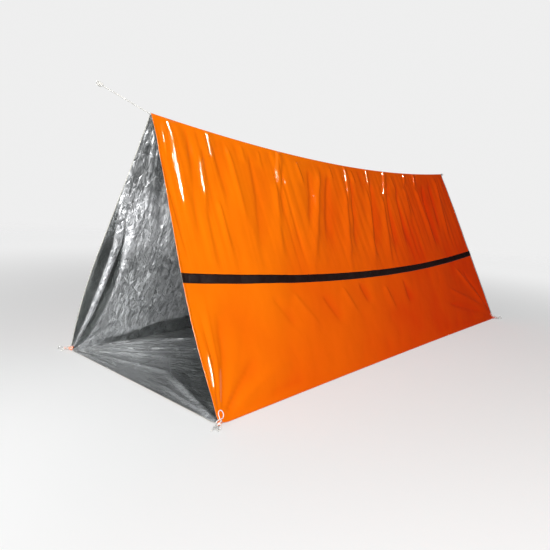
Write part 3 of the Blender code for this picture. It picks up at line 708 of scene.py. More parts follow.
def film_columns(count, close=()):
    """Shares of the length, closer together towards the front and most of all in the close stretches."""
    fine = np.linspace(0, 1, FINE_STEPS)
    pace = 1 / (1 - COLUMN_CROWDING + 2 * COLUMN_CROWDING * fine)
    y = fine * TENT_LENGTH
    for start, end in close:
        near = ramp(y, start - CLOSE_BLUR, start) * (1 - ramp(y, end, end + CLOSE_BLUR))
        pace *= 1 + (CLOSE_TIMES - 1) * near
    passed = np.concatenate([[0.0], np.cumsum((pace[1:] + pace[:-1]) / 2)])
    t = np.interp(np.linspace(0, passed[-1], count), passed, fine)
    front, back = (width / TENT_LENGTH for width in HEM_WIDTHS)
    return np.concatenate([[0.0], front + (1 - front - back) * t, [1.0]])


def crest_lines(folds, a, b, skew=0.0):
    """The summed height of folds along their lines, at places a and b in metres.

    A skew makes a ridge's flank on the far side along a the steeper one, and a valley's on the near side."""
    total = np.zeros_like(a)
    for height, width, line in folds:
        points = np.array(line)
        steps = np.linalg.norm(np.diff(points, axis=0), axis=1)
        nearest = np.full(a.shape, np.inf)
        along, ahead = np.zeros_like(a), np.zeros_like(a)
        run = 0.0
        for start, end, step in zip(points, points[1:], steps):
            way = (end - start) / step
            t = np.clip((a - start[0]) * way[0] + (b - start[1]) * way[1], 0, step)
            aside, beyond = a - start[0] - way[0] * t, b - start[1] - way[1] * t
            away = np.hypot(aside, beyond)
            closer = away < nearest
            nearest = np.where(closer, away, nearest)
            along = np.where(closer, (run + t) / steps.sum(), along)
            ahead = np.where(closer, aside + FOLD_SLANT * beyond, ahead)
            run += step
        lean = skew * math.copysign(1, height) * np.tanh(3 * ahead / width)
        reach = width * (FOLD_START_WIDTH + FOLD_WIDENING * along) * (1 - lean)
        fade = ramp(along, *FOLD_RISE) * (1 - FOLD_SINKING * ramp(along, *FOLD_SINK)) * (1 - ramp(along, *FOLD_END))
        total += height * fade / np.cosh(1.5 * nearest / reach)
    return total


def glint_rise(y, share):
    """Short flanks that rise towards the back at given slopes and sink again gently."""
    total = np.zeros_like(y)
    for width, line in GLINT_FOLDS:
        width = width / TENTH_MM
        places, shares, slopes = (np.array(line[::-1]) / (TENTH_MM, MM, PERCENT)).T
        taper = GLINT_TAPER * (shares[-1] - shares[0])
        within = ramp(share, shares[0], shares[0] + taper) * (1 - ramp(share, shares[-1] - taper, shares[-1]))
        wide = width * np.maximum(within, GLINT_LEAST) ** GLINT_TIP
        away = y - np.interp(share, shares, places)
        flank = np.clip(away / wide + 0.5, 0, 1) * (1 - ramp(away, 0.5 * width, GLINT_SINK * width))
        total += np.interp(share, shares, slopes) * wide * flank * (within > 0)
    return total


def ripples(a, b, seed, count, wave, stretch, height, sharp=0.0):
    """Waves of mixed directions, longer along b by the stretch; sharp turns them into creases."""
    rng = np.random.default_rng(seed)
    total = np.zeros_like(a)
    for _ in range(count):
        angle = rng.uniform(0, math.pi)
        pace = 2 * math.pi / (wave * rng.uniform(*RIPPLE_LENGTHS))
        phase = pace * (a * math.cos(angle) + b * math.sin(angle) / stretch) + rng.uniform(0, 2 * math.pi)
        swing = rng.uniform(*RIPPLE_SWAY)
        turned = RIPPLE_SWAY_PACE * pace * (b / stretch - a) + rng.uniform(0, RIPPLE_SWAY_PHASE)
        wave_here = np.sin(phase + swing * np.sin(turned))
        total += (1 - sharp) * wave_here + sharp * (1 - 2 * np.abs(wave_here))
    return height * total / math.sqrt(count)


def metric(folds, second=1.0):
    """A table's folds in metres; second is what its points' second numbers are thousandths of."""
    return [
        (height / TENTH_MM, width / TENTH_MM, [(a / MM, b / MM * second) for a, b in line])
        for height, width, line in folds
    ]


def wall_rise(side, y, share):
    """How far folds and wrinkles lift a wall's film off its plain slope."""
    up = share * SLANT
    rise = crest_lines(metric(RIGHT_FOLDS if side > 0 else LEFT_FOLDS, SLANT), y, up, FOLD_SKEW)
    if side > 0:
        rise *= FOLD_GROWTH + FOLD_GROWTH * ramp(y, *FOLDS_GROW)
    rise += ripples(y, up, seed=11 + side, count=9, wave=0.30, stretch=1.6, height=0.0016)
    rise += ripples(y, up, seed=21 + side, count=10, wave=0.085, stretch=2.6, height=0.00055, sharp=0.3)
    pleats = ripples(y, up, seed=51 + side, count=9, wave=0.052, stretch=11.0, height=0.0011, sharp=0.25)
    rise += pleats * ramp(share, *PLEATS_START)
    if side < 0:
        height = CRUMPLES + FRONT_CRUMPLES * (1 - ramp(y, *FRONT_CRUMPLES_END))
        crumples = ripples(y, up, seed=31, count=12, wave=0.036, stretch=3.0, height=height, sharp=0.8)
        rise += crumples * taut_free(y, share)
    rise *= ramp(up, *FADE_AT_FOOT) * ramp(SLANT - up, *FADE_AT_RIDGE)
    if side > 0:
        rise += glint_rise(y, share) * ramp(SLANT - up, *GLINT_FADE)
    return rise


def taut_free(y, share):
    """0 on the taut strips along the left wall's front edge, and 1 on the crumpled film between and behind them."""
    first, second, third = (np.interp(share, TAUT_SHARES, edge) for edge in TAUT_EDGES)
    free = ramp(y, first - TAUT_BLUR, first + TAUT_BLUR) * (1 - ramp(y, second - TAUT_BLUR, second + TAUT_BLUR))
    return np.clip(free + ramp(y, third - TAUT_BLUR, third + TAUT_LAST_BLUR), 0, 1)


def corner_lift(points):
    """The film rises at each bottom corner to the neck that the tie binds."""
    lift = np.zeros(points.shape[:-1])
    for side, end in CORNERS.values():
        corner = np.array([side * FLOOR_WIDTH / 2, end * TENT_LENGTH / 2, 0.0])
        away = np.linalg.norm(points - corner, axis=-1)
        lift = np.maximum(lift, CORNER_LIFT * np.exp(-((away / CORNER_LIFT_REACH) ** 2)))
    return lift


def film_normals(points, sign):
    along = np.gradient(points, axis=0)
    down = np.gradient(points, axis=1)
    normal = sign * np.cross(along, down)
    return normal / np.maximum(np.linalg.norm(normal, axis=-1, keepdims=True), 1e-12)


def roundings(flat):
    """The turn over the ridge, and how much of the slant the roundings at the ridge and at the foot take."""
    turn = np.arccos(flat[:, 2])
    return turn, RIDGE_ROUND / flat[:, 2] * np.abs(flat[:, 0]), FOOT_ROUND / np.tan(turn / 2)


def arc(centre, radius, side, angles):
    return [centre + radius * np.stack([side * np.sin(a), 0 * a, np.cos(a)], axis=-1) for a in angles]


def wall_surface(side, u, fold_scale, rows=None):
    """The wall's outer face: rounded over the cord, down the slope with its folds, and rounded under the foot."""
    top, down, slant, flat = slope_at(side, u)
    turn, begin, under = roundings(flat)
    centre = top - np.stack([0 * u, 0 * u, RIDGE_ROUND / flat[:, 2]], axis=-1)
    grid = arc(centre, RIDGE_ROUND, side, [turn * k / ARC_STEPS for k in range(ARC_STEPS)])
    shares = [1 + 0 * u] * ARC_STEPS
    curl = HEM_CURL * (1 - ramp(np.minimum(u, 1 - u) * TENT_LENGTH, 0.0, HEM_REACH))
    for t in np.linspace(0, 1, WALL_ROWS) if rows is None else rows:
        below = begin + (slant - under - begin) * t
        share = below / slant
        point = top + down * share[:, None]
        bow = FRONT_EDGE_BOW * np.sin(math.pi * share**FRONT_BOW_LOWNESS)
        point[:, 1] -= bow * (1 - ramp(u * TENT_LENGTH, 0, FRONT_BOW_REACH))
        belly = ramp(below, BELLY_MARGIN, slant / 2) * ramp(slant - below, BELLY_MARGIN, slant / 2)
        rise = fold_scale * wall_rise(side, point[:, 1] + TENT_LENGTH / 2, 1 - share)
        rise -= WALL_BELLY * belly * 4 * u * (1 - u)
        rise += curl * ramp(below, *HEM_FADE) * ramp(slant - below, *HEM_FADE)
        grid.append(point + flat * rise[:, None])
        shares.append(1 - share)
    centre = foot_at(side, u) - np.stack([side * under, 0 * u, -FOOT_ROUND + 0 * u], axis=-1)
    angles = [turn + (math.pi - turn) * k / ARC_STEPS for k in range(1, ARC_STEPS + 1)]
    grid += arc(centre, FOOT_ROUND, side, angles)
    shares += [0 * u] * ARC_STEPS
    points = np.stack(grid, axis=1)
    points[..., 2] += corner_lift(points)
    return points, np.stack(shares, axis=1)


def ground_surface(u, fold_scale):
    """The ground sheet's underside, which starts where the walls' film has turned under their feet."""
    foot = foot_at(1, u)
    half = foot[:, 0] - roundings(slope_at(1, u)[3])[2]
    x = half[:, None] * np.linspace(-1, 1, GROUND_ROWS)[None, :]
    y = np.repeat(foot[:, 1][:, None], GROUND_ROWS, axis=1)
    ahead = y + TENT_LENGTH / 2
    lift = crest_lines(metric(GROUND_FOLDS), x, ahead)
    lift += np.maximum(ripples(x, ahead, seed=41, count=10, wave=0.11, stretch=1.4, height=0.0011, sharp=0.4), 0)
    lift += np.maximum(ripples(x, ahead, seed=42, count=12, wave=0.045, stretch=1.4, height=0.0007, sharp=0.8), 0)
    side_edge = half[:, None] - np.abs(x)
    lift *= fold_scale * ramp(side_edge, *GROUND_SIDE_FADE)
    edge = np.minimum(ahead, TENT_LENGTH - ahead)
    lift *= ramp(edge, *GROUND_END_FADE)
    lift += HEM_CURL * (1 - ramp(edge, 0.0, HEM_REACH)) * ramp(side_edge, *HEM_FADE)
    points = np.stack([x, y, np.maximum(lift, 0.0)], axis=-1)
    points[..., 2] += corner_lift(points)
    return points


def add_object(name, data):
    obj = bpy.data.objects.new(name, data)
    bpy.context.scene.collection.objects.link(obj)
    return obj


def add_field(mesh, name, values):
    mesh.attributes.new(name, "FLOAT", "POINT").data.foreach_set("value", values)


def add_film(name, outer, normals, uv, fields, hems, flip, materials):
    """A closed sheet of thin film between its outer face and the inner one that lies under it.

    hems says whether the front outer, front inner, back outer and back inner hems show the pale edge."""
    columns, rows = outer.shape[:2]
    inner = outer - normals * FILM_THICKNESS
    points = np.concatenate([outer.reshape(-1, 3), inner.reshape(-1, 3)])
    index = np.arange(columns * rows).reshape(columns, rows)
    a, b, c, d = index[:-1, :-1], index[1:, :-1], index[1:, 1:], index[:-1, 1:]
    halves = [[a, b, c], [a, c, d]] if flip else [[c, b, a], [d, c, a]]
    over = np.concatenate([np.stack(half, axis=-1).reshape(-1, 3) for half in halves])
    under = over[:, ::-1] + columns * rows
    column = np.tile(np.repeat(np.arange(columns - 1), rows - 1), 2)
    front, back = column == 0, column == columns - 2
    rim = np.concatenate([index[:, 0], index[-1, 1:], index[-2::-1, -1], index[0, -2:0:-1]])
    after = np.roll(rim, -1)
    lower, lower_after = rim + columns * rows, after + columns * rows
    triangles = (rim, after, lower_after), (rim, lower_after, lower)
    sides = np.concatenate([np.stack(triangle, axis=-1) for triangle in triangles])
    faces = np.concatenate([over, under, sides[:, ::-1] if flip else sides])
    # The hems that show the pale edge take the edge finish on their outer or inner face: a painted highlight
    outer_slots = np.where(front & hems[0] | back & hems[2], 2, 0)
    inner_slots = np.where(front & hems[1] | back & hems[3], 2, 1)
    slots = np.concatenate([outer_slots, inner_slots, np.full(len(sides), 2)])
    mesh = bpy.data.meshes.new(name)
    mesh.vertices.add(len(points))
    mesh.vertices.foreach_set("co", points.ravel())
    mesh.loops.add(3 * len(faces))
    mesh.loops.foreach_set("vertex_index", faces.ravel().astype(np.int32))
    mesh.polygons.add(len(faces))
    mesh.polygons.foreach_set("loop_start", np.arange(0, 3 * len(faces), 3, dtype=np.int32))
    mesh.polygons.foreach_set("material_index", slots.astype(np.int32))
    mesh.update(calc_edges=True)
    mesh.validate()
    flat_uv = np.concatenate([uv.reshape(-1, 2)] * 2)
    mesh.uv_layers.new(name="UVMap").data.foreach_set("uv", flat_uv[faces.ravel()].ravel())
    for key, field in fields.items():
        add_field(mesh, key, np.concatenate([field.ravel()] * 2).astype(np.float32))
    for material in materials:
        mesh.materials.append(material)
    mesh.polygons.foreach_set("use_smooth", np.concatenate([np.ones(2 * len(over)), np.zeros(len(sides))]) > 0)
    return add_object(name, mesh)


def left_wall_tone(y, shares, crinkle):
    """The crinkle and the painted shade of the left wall, whose inside shows past the right wall's front edge:
    darker on its taut strips and foot, lighter on a lit strip.

    Spans along y are metres from the front edge, those along shares run from the foot, 0, to the ridge, 1."""
    free = taut_free(y, shares)
    edge = free * (1 - ramp(y, 0.08, 0.16)) * ramp(shares, 0.15, 0.30)
    crinkle = crinkle * (TAUT_CRINKLE + (1 - TAUT_CRINKLE) * free) + EDGE_MORE_CRINKLE * edge
    low = ramp(np.interp(y, *LOW_CREST) - shares, 0.0, 0.014) * ramp(y, 0.06, 0.25)
    end = np.interp(shares, *LIT_EDGE)
    lit = (1 - ramp(y, end - 0.008, end + 0.014)) * ramp(shares, 0.08, 0.20) * (1 - ramp(shares, 0.62, 0.74))
    crinkle = crinkle + LIT_MORE_CRINKLE * lit * ramp(shares, 0.50, 0.60)
    middle = ramp(shares, 0.44, 0.54) * (1 - ramp(shares, 0.66, 0.76))
    dim = WALL_DIM - MIDDLE_LESS_DIM * middle + TOP_DIM * ramp(shares, 0.70, 0.82)
    dim = dim * (1 - STRIP_LIT * lit * free) + TAUT_DIM * (1 - free) + FOOT_DIM * low * free
    return crinkle, dim


def make_wall(side, name, made, fold_scale):
    u = film_columns(WALL_COLUMNS, GLINT_COLUMNS)
    points, shares = wall_surface(side, u, fold_scale)
    plain, _ = wall_surface(side, u, 0.0)
    relief = 0.5 + np.einsum("crk,ck->cr", points - plain, slope_at(side, u)[3]) / RELIEF_SPAN
    y = points[..., 1] + TENT_LENGTH / 2
    crinkle = WALL_CRINKLE + FRONT_MORE_CRINKLE * (1 - ramp(y, 0.2, 0.7))
    crinkle *= 1 - TOP_LESS_CRINKLE * ramp(shares, 0.70, 0.85)
    # Painted shade over the whole inner face of the walls
    dim = WALL_DIM + 0 * y
    if side < 0:
        crinkle, dim = left_wall_tone(y, shares, crinkle)
    uv = np.stack([y, shares * SLANT], axis=-1)
    fields = {"relief": np.clip(relief, 0, 1), "crinkle": crinkle, "dim": dim}
    hems = (side < 0, side < 0, True, False)
    materials = [made[key] for key in FILM_FINISHES]
    return add_film(name, points, film_normals(points, -side), uv, fields, hems, side < 0, materials)


def make_ground(name, made, fold_scale):
    points = ground_surface(film_columns(FILM_COLUMNS), fold_scale)
    x, ahead = points[..., 0], points[..., 1] + TENT_LENGTH / 2
    away = np.hypot(x + FLOOR_WIDTH / 2, ahead)
    behind = ahead - np.interp(x, *TAUT_GROUND)
    taut = (1 - ramp(behind, -0.008, 0.004)) * ramp(x, -0.30, -0.02)
    # Painted shade in a band behind the ground sheet's taut strip, and a painted base shade over all of it
    dim = ramp(behind, 0.0, 0.010) * (1 - ramp(behind, 0.12, 0.34)) * ramp(x, -0.20, 0.08)
    crinkle = (GROUND_CRINKLE + CORNER_MORE_CRINKLE * (1 - ramp(away, 0.1, 0.7))) * (1 - TAUT_LESS_CRINKLE * taut)
    angle = np.arctan2(ahead, x + FLOOR_WIDTH / 2 + 0.02)
    uv = np.stack([angle, away * 0.8], axis=-1)
    normals = -film_normals(points, 1)
    normals = np.where(normals[..., 2:] > 0, -normals, normals)
    fields = {"relief": np.full(ahead.shape, 0.5), "crinkle": crinkle, "dim": GROUND_DIM + BEHIND_TAUT_DIM * dim}
    return add_film(name, points, normals, uv, fields, (True,) * 4, True, [made[key] for key in FILM_FINISHES])


def make_band(side, name, made, fold_scale):
    """Tape that lies on the wall and follows its folds, with its own thin edges."""
    u = film_columns(WALL_COLUMNS, GLINT_COLUMNS)
    _, _, slant, flat = slope_at(side, u)
    _, begin, under = roundings(flat)
    # Two more rows on each side give the outer rows their normals, and are cut off again
    steps = range(-BAND_MARGIN, BAND_ROWS + BAND_MARGIN)
    places = [BAND_FROM_RIDGE + BAND_WIDTH * (k / (BAND_ROWS - 1) - 0.5) for k in steps]
    rows = [(below - begin) / (slant - under - begin) for below in places]
    points, shares = wall_surface(side, u, fold_scale, rows)
    points = points[:, ARC_STEPS:-ARC_STEPS]
    normals = film_normals(points, -side)[:, BAND_MARGIN:-BAND_MARGIN]
    points = points[:, BAND_MARGIN:-BAND_MARGIN]
    y = points[..., 1] + TENT_LENGTH / 2
    cut = ARC_STEPS + BAND_MARGIN
    uv = np.stack([y, shares[:, cut:-cut] * SLANT], axis=-1)
    lifted = points + normals * BAND_LIFT
    fields = {"relief": 0.5 + 0 * y}
    return add_film(name, lifted, normals, uv, fields, (False,) * 4, side < 0, [made["tape_black"]] * 3)


# ---------------------------------------------------------------- cords


def blend(a, b, start, end, t):
    return a * ((end - t) / (end - start)) + b * ((t - start) / (end - start))


def smooth_route(chosen, spacing):
    """Points a spacing apart on a smooth curve through the chosen ones."""
    ends = [2 * chosen[0] - chosen[1], *chosen, 2 * chosen[-1] - chosen[-2]]
    fine = []
    for a, b, c, d in zip(ends, ends[1:], ends[2:], ends[3:]):
        t1 = math.sqrt((b - a).length)
        t2 = t1 + math.sqrt((c - b).length)
        t3 = t2 + math.sqrt((d - c).length)
        for k in range(ROUTE_STEPS):
            t = t1 + (t2 - t1) * k / ROUTE_STEPS
            bc = blend(b, c, t1, t2, t)
            abc = blend(blend(a, b, 0.0, t1, t), bc, 0.0, t2, t)
            bcd = blend(bc, blend(c, d, t2, t3, t), t1, t3, t)
            fine.append(blend(abc, bcd, t1, t2, t))
    fine.append(chosen[-1])
    length = sum((b - a).length for a, b in zip(fine, fine[1:]))
    count = max(round(length / spacing), 1)
    found = [fine[0]]
    run = 0.0
    for a, b in zip(fine, fine[1:]):
        step = (b - a).length
        while len(found) < count and run + step >= length / count * len(found):
            found.append(a.lerp(b, (length / count * len(found) - run) / step))
        run += step
    return [*found, fine[-1]]


def cord_centre(u):
    top, _, _, flat = slope_at(1, np.array([float(u)]))
    drop = (SOLID_FILM + CORD_DIAMETER / 2 + CLEARANCE) / flat[0, 2]
    return Vector(top[0]) - UP * drop


def cord_front():
    start = cord_centre(0)
    slope = (start - cord_centre(1 / CORD_POINTS)).normalized()
    onward = Vector((0, -GUY_REACH, GUY_RISE)).normalized()
    return start + (slope + onward).normalized() * CORD_STUB, onward


def ridge_cord_route():
    front, onward = cord_front()
    back = cord_centre(1)
    slope = (back - cord_centre(1 - 1 / CORD_POINTS)).normalized()
    held = [cord_centre(k / CORD_POINTS) for k in range(CORD_POINTS + 1)]
    return [front + onward * CORD_DIAMETER, front, *held, back + slope * CORD_STUB], slope


def front_guy_route():
    front, onward = cord_front()
    start = front + onward * (CORD_DIAMETER + CLEARANCE)
    end = start + Vector((0, -GUY_REACH, GUY_RISE))
    return [start.lerp(end, k / GUY_POINTS) for k in range(GUY_POINTS + 1)], onward


def knot_route(end, onward):
    """A barrel knot: the cord runs through, turns back and winds over itself, and ends in a short tail."""
    start = end + onward * CLEARANCE
    across = onward.cross(Vector((1, 0, 0))).normalized()
    aside = onward.cross(across).normalized()
    pitch = CORD_DIAMETER + TURN_GAP
    radius = CORD_DIAMETER + 2 * TURN_GAP
    core = pitch * (KNOT_TURNS + KNOT_SPARE_TURN)
    chosen = [start, start + onward * core / 2, start + onward * core]
    for share in KNOT_TURN_BACK:
        chosen.append(start + onward * (core + KNOT_END_ROOM * radius) + across * share * radius)
    for k in range(KNOT_TURNS * TIE_POINTS_A_TURN + 1):
        angle = 2 * math.pi * k / TIE_POINTS_A_TURN
        around = across * math.cos(angle) + aside * math.sin(angle)
        chosen.append(start + onward * (core - pitch * k / TIE_POINTS_A_TURN) + around * radius)
    for part in (8, 4):
        chosen.append(chosen[-1] + aside * KNOT_TAIL / 2 + across * KNOT_TAIL / part)
    return smooth_route(chosen, CORD_DIAMETER / 1.5)


class Corner:
    """Directions at a bottom corner of the tent: out along its diagonal, aside along the ground, and up."""

    def __init__(self, side, end):
        u = np.array([0.5 + end / 2])
        self.foot = Vector(foot_at(side, u)[0]) + Vector((side * CLEARANCE / 2, 0, 0))
        self.flat = Vector(slope_at(side, u)[3][0])
        self.side = side
        self.end = end
        self.out = Vector((side, end, 0)).normalized()
        self.aside = Vector((side, -end, 0)).normalized()

    def place(self, out, aside, up):
        return self.foot + self.out * out + self.aside * aside + UP * up

    def on_wall(self, inward, above, lift):
        upward = Vector((-self.side * self.flat.z, 0, abs(self.flat.x)))
        return self.foot - Vector((0, self.end * inward, 0)) + upward * above + self.flat * lift


def tie_route(corner):
    """From the loose end on the ground, round the loop on the wall and the gather's neck, to the peg and back.

    The plain factors are shares of the named lengths, which place the points between one turn and the next."""
    half = TIE_DIAMETER / 2
    for out, aside, up in TIE_TAIL_SHARES:
        yield corner.place(TIE_TAIL_OUT * out, -TIE_TAIL_ASIDE * aside, half + CLEARANCE + TIE_TAIL_RISE * up)
    off = half + SOLID_FILM
    over = off + TIE_DIAMETER + TURN_GAP
    low = TIE_LOOP_ABOVE - TIE_LOOP_LENGTH / 2
    yield corner.on_wall(TIE_LOOP_INWARD / 4, low, over + TIE_DIAMETER)
    yield corner.on_wall(TIE_LOOP_INWARD * 0.87, low, over)
    for k in range(TIE_POINTS_A_TURN + 1):
        angle = math.radians(TIE_LOOP_START + (TIE_LOOP_END - TIE_LOOP_START) * k / TIE_POINTS_A_TURN)
        inward = TIE_LOOP_INWARD + math.cos(angle) * TIE_LOOP_WIDTH / 2
        yield corner.on_wall(inward, TIE_LOOP_ABOVE + math.sin(angle) * TIE_LOOP_LENGTH / 2, off)
    yield corner.on_wall(TIE_LOOP_INWARD * 0.4, low, off)
    clear = GATHER_BASE_RADIUS + half + TURN_GAP
    yield corner.place(-TIE_DIAMETER, 0.6 * clear, GATHER_AXIS_HEIGHT + 0.9 * clear)
    yield corner.place(CLEARANCE, 0.5 * clear, GATHER_AXIS_HEIGHT + 0.9 * clear)
    radius = GATHER_NECK_RADIUS + CLEARANCE + half
    first = CLEARANCE + GATHER_NECK_START * GATHER_LENGTH + half
    for k in range(round(TIE_TURNS * TIE_POINTS_A_TURN) + 1):
        turn = 2 * math.pi * (k / TIE_POINTS_A_TURN + TIE_FIRST_TURN_SHARE)
        place = first + (TIE_DIAMETER + TURN_GAP) * k / TIE_POINTS_A_TURN
        yield corner.place(place, radius * math.cos(turn), GATHER_AXIS_HEIGHT + radius * math.sin(turn))
    clear = GATHER_TUFT_RADIUS + half + TURN_GAP
    yield corner.place(0.88 * GATHER_LENGTH, 0.97 * clear, GATHER_AXIS_HEIGHT + TURN_GAP)
    yield corner.place(GATHER_LENGTH, clear, GATHER_AXIS_HEIGHT)
    radius = PEG_DIAMETER / 2 + half + TIE_PEG_GAP
    shank = PEG_OUTREACH + TIE_PEG_HEIGHT * math.tan(math.radians(PEG_LEAN))
    for k in range(5):
        angle = math.pi * (0.5 - k / 4)
        yield corner.place(shank + radius * math.cos(angle), radius * math.sin(angle), TIE_PEG_HEIGHT)
    beside = GATHER_NECK_RADIUS + TIE_DIAMETER + half + 2 * TURN_GAP
    yield corner.place(GATHER_LENGTH * 1.15, -clear, TIE_PEG_HEIGHT)
    yield corner.place(GATHER_LENGTH * 0.85, -beside, TIE_PEG_HEIGHT)
    yield corner.place(GATHER_LENGTH * 0.5, -beside, TIE_PEG_HEIGHT)


def laid_cord_nodes(name):
    """Geometry Nodes that lay up strands along a path into one twisted cord."""
    tree = bpy.data.node_groups.new(name, "GeometryNodeTree")
    inputs = {"Path": "Geometry", "Diameter": "Float", "Strands": "Int", "Lay Length": "Float", "Groove": "Float",
              "Spacing": "Float", "Finish": "Material"}
    for label, kind in inputs.items():
        tree.interface.new_socket(label, in_out="INPUT", socket_type=f"NodeSocket{kind}")
    tree.interface.new_socket("Cord", in_out="OUTPUT", socket_type="NodeSocketGeometry")
    g = Nodes(tree)

    def shape(kind, inputs, **settings):
        return g.add(f"GeometryNode{kind}", inputs, **settings).outputs[0]

    def store(geometry, key, value, kind="FLOAT"):
        inputs = {"Geometry": geometry, "Name": key, "Value": value}
        return shape("StoreNamedAttribute", inputs, data_type=kind, domain="POINT")

    def read(key):
        return shape("InputNamedAttribute", {"Name": key}, data_type="FLOAT")

    given = g.add("NodeGroupInput").outputs
    path = shape("ResampleCurve", {"Curve": given["Path"], "Length": given["Spacing"]}, mode="LENGTH")
    run = g.add("GeometryNodeSplineParameter").outputs["Length"]
    twist = g.math("MULTIPLY", g.math("DIVIDE", run, given["Lay Length"]), 2 * math.pi)
    path = store(shape("SetCurveTilt", {"Curve": path, "Tilt": twist}), "run", run)

    ring = shape("CurvePrimitiveCircle", {"Resolution": CORD_SIDES, "Radius": 1.0}, mode="RADIUS")
    around = g.math("MULTIPLY", shape("InputIndex", {}), 2 * math.pi / CORD_SIDES)
    wave = g.math("COSINE", g.math("MULTIPLY", around, given["Strands"]))
    lobe = g.math("MULTIPLY", g.math("ADD", wave, 1.0), 0.5)
    dip = g.math("SUBTRACT", 1.0, g.math("POWER", lobe, 0.6))
    plump = g.math("SUBTRACT", 1.0, g.math("MULTIPLY", dip, given["Groove"]))
    radius = g.math("MULTIPLY", g.math("MULTIPLY", given["Diameter"], 0.5), plump)
    place = g.scaled(shape("InputPosition", {}), radius)
    ring = store(shape("SetPosition", {"Geometry": ring, "Position": place}), "groove", dip)
    ring = store(ring, "turn", around)

    tube = shape("CurveToMesh", {"Curve": path, "Profile Curve": ring, "Fill Caps": True})
    turn = read("turn")
    strand = {
        0: g.math("MULTIPLY", g.math("COSINE", turn), FIBRES_AROUND),
        1: g.math("MULTIPLY", g.math("SINE", turn), FIBRES_AROUND),
        2: g.math("MULTIPLY", read("run"), FIBRES_ALONG),
    }
    fibre = store(tube, "fibre", g.add("ShaderNodeCombineXYZ", strand).outputs[0], "FLOAT_VECTOR")
    real = shape("RealizeInstances", {"Geometry": shape("SetShadeSmooth", {"Geometry": fibre})})
    g.add("NodeGroupOutput", {"Cord": shape("SetMaterial", {"Geometry": real, "Material": given["Finish"]})})
    return tree


def make_cord(name, route, diameter, trim, finish, spacing):
    """Twisted cord along a route, made by the nodes and kept as a plain mesh."""
    tree = bpy.data.node_groups.get("laid_cord") or laid_cord_nodes("laid_cord")
    curve = bpy.data.curves.new(f"{name}_path", "CURVE")
    curve.dimensions = "3D"
    spline = curve.splines.new("POLY")
    spline.points.add(len(route) - 1)
    for k, point in enumerate(route):
        spline.points[k].co = (*point, 1.0)
    guide = add_object(f"{name}_path", curve)
    modifier = guide.modifiers.new("laid_cord", "NODES")
    modifier.node_group = tree
    values = {
        "Diameter": diameter,
        "Strands": trim.strands,
        "Lay Length": trim.lay_length * diameter / CORD_DIAMETER,
        "Groove": CORD_GROOVE,
        "Spacing": spacing,
        "Finish": finish,
    }
    for item in tree.interface.items_tree:
        if item.in_out == "INPUT" and item.name in values:
            modifier[item.identifier] = values[item.name]
    bpy.context.view_layer.update()
    evaluated = guide.evaluated_get(bpy.context.evaluated_depsgraph_get())
    mesh = bpy.data.meshes.new_from_object(evaluated)
    mesh.name = name
    bpy.data.objects.remove(guide, do_unlink=True)
    if not mesh.vertices:
        raise RuntimeError(f"{name}: the cord's nodes made nothing")
    return add_object(name, mesh)


# ---------------------------------------------------------------- gathers


def make_gather(name, corner, seed, made):
    """The corner of the film drawn into pleats, bound at the neck, with a short frilled tuft."""
    rng = np.random.default_rng(seed)
    angles = np.linspace(0, 2 * math.pi, GATHER_SIDES, endpoint=False)
    bends = rng.uniform(-GATHER_SWAY, GATHER_SWAY, 3)
    sway = sum(bend * np.sin((k + 1) * angles + rng.uniform(0, 6)) / (k + 1) for k, bend in enumerate(bends))
    warped = angles + sway
    uneven = (1 - GATHER_EVENNESS) * np.sin(2 * angles + rng.uniform(0, 6)) * np.cos(3 * angles + rng.uniform(0, 6))
    weights = GATHER_EVENNESS + uneven
    columns = list(zip(*GATHER_PROFILE))
    last = len(GATHER_PROFILE) - 1
    stations = np.linspace(0, last, GATHER_STEPS * last + 1)
    points = []
    for s in stations:
        place, radius, depth = (np.interp(s, np.arange(last + 1), column) for column in columns)
        pleat = (0.5 + 0.5 * np.cos(GATHER_PLEATS * warped + GATHER_TWIST * place)) ** GATHER_FULLNESS
        ring = radius * (1 - depth * weights * (1 - pleat))
        frill = GATHER_FRILL_HEIGHT * np.sin(GATHER_FRILLS * warped + seed) * ramp(s, *GATHER_TUFT)
        points += [
            corner.place(place + f, r * math.sin(a), GATHER_AXIS_HEIGHT + r * math.cos(a))
            for a, r, f in zip(angles, ring, frill)
        ]
    faces, slots = [tuple(range(GATHER_SIDES))], [0]
    for i in range(len(stations) - 1):
        for k in range(GATHER_SIDES):
            a = i * GATHER_SIDES + k
            b = i * GATHER_SIDES + (k + 1) % GATHER_SIDES
            faces.append((a, b, b + GATHER_SIDES, a + GATHER_SIDES))
            inside = stations[i] >= GATHER_TUFT[1] or math.cos(GATHER_PLEATS * warped[k]) < GATHER_INSIDE_BELOW
            slots.append(int(inside))
    faces.append(tuple(range(len(points) - GATHER_SIDES, len(points))))
    slots.append(1)
    mesh = bpy.data.meshes.new(name)
    mesh.from_pydata([tuple(p) for p in points], [], faces)
    body = bmesh.new()
    body.from_mesh(mesh)
    bmesh.ops.recalc_face_normals(body, faces=body.faces)
    body.to_mesh(mesh)
    body.free()
    mesh.polygons.foreach_set("material_index", slots)
    layer = mesh.uv_layers.new(name="UVMap")
    for loop in mesh.loops:
        row, place = divmod(loop.vertex_index, GATHER_SIDES)
        layer.data[loop.index].uv = (GATHER_UV_STEPS[0] * place, GATHER_UV_STEPS[1] * row)
    for key, value in (("relief", 0.5), ("crinkle", 0.3)):
        add_field(mesh, key, [value] * len(points))
    mesh.materials.append(made["film_outside"])
    mesh.materials.append(made["film_inside"])
    mesh.shade_smooth()
    return add_object(name, mesh)


# ---------------------------------------------------------------- operators


class TUBETENT_OT_stage(bpy.types.Operator):
    """Make the camera, the floor, the backdrop's light and the lamps"""

    bl_idname = "tube_tent.stage"
    bl_label = "Stage"

    def execute(self, context):
        stage = context.scene.tube_tent.stage
        make_camera()
        make_floor(stage)
        make_world()
        make_lamps(stage)
        make_flag()
        context.scene.view_settings.view_transform = "Standard"
        return {"FINISHED"}


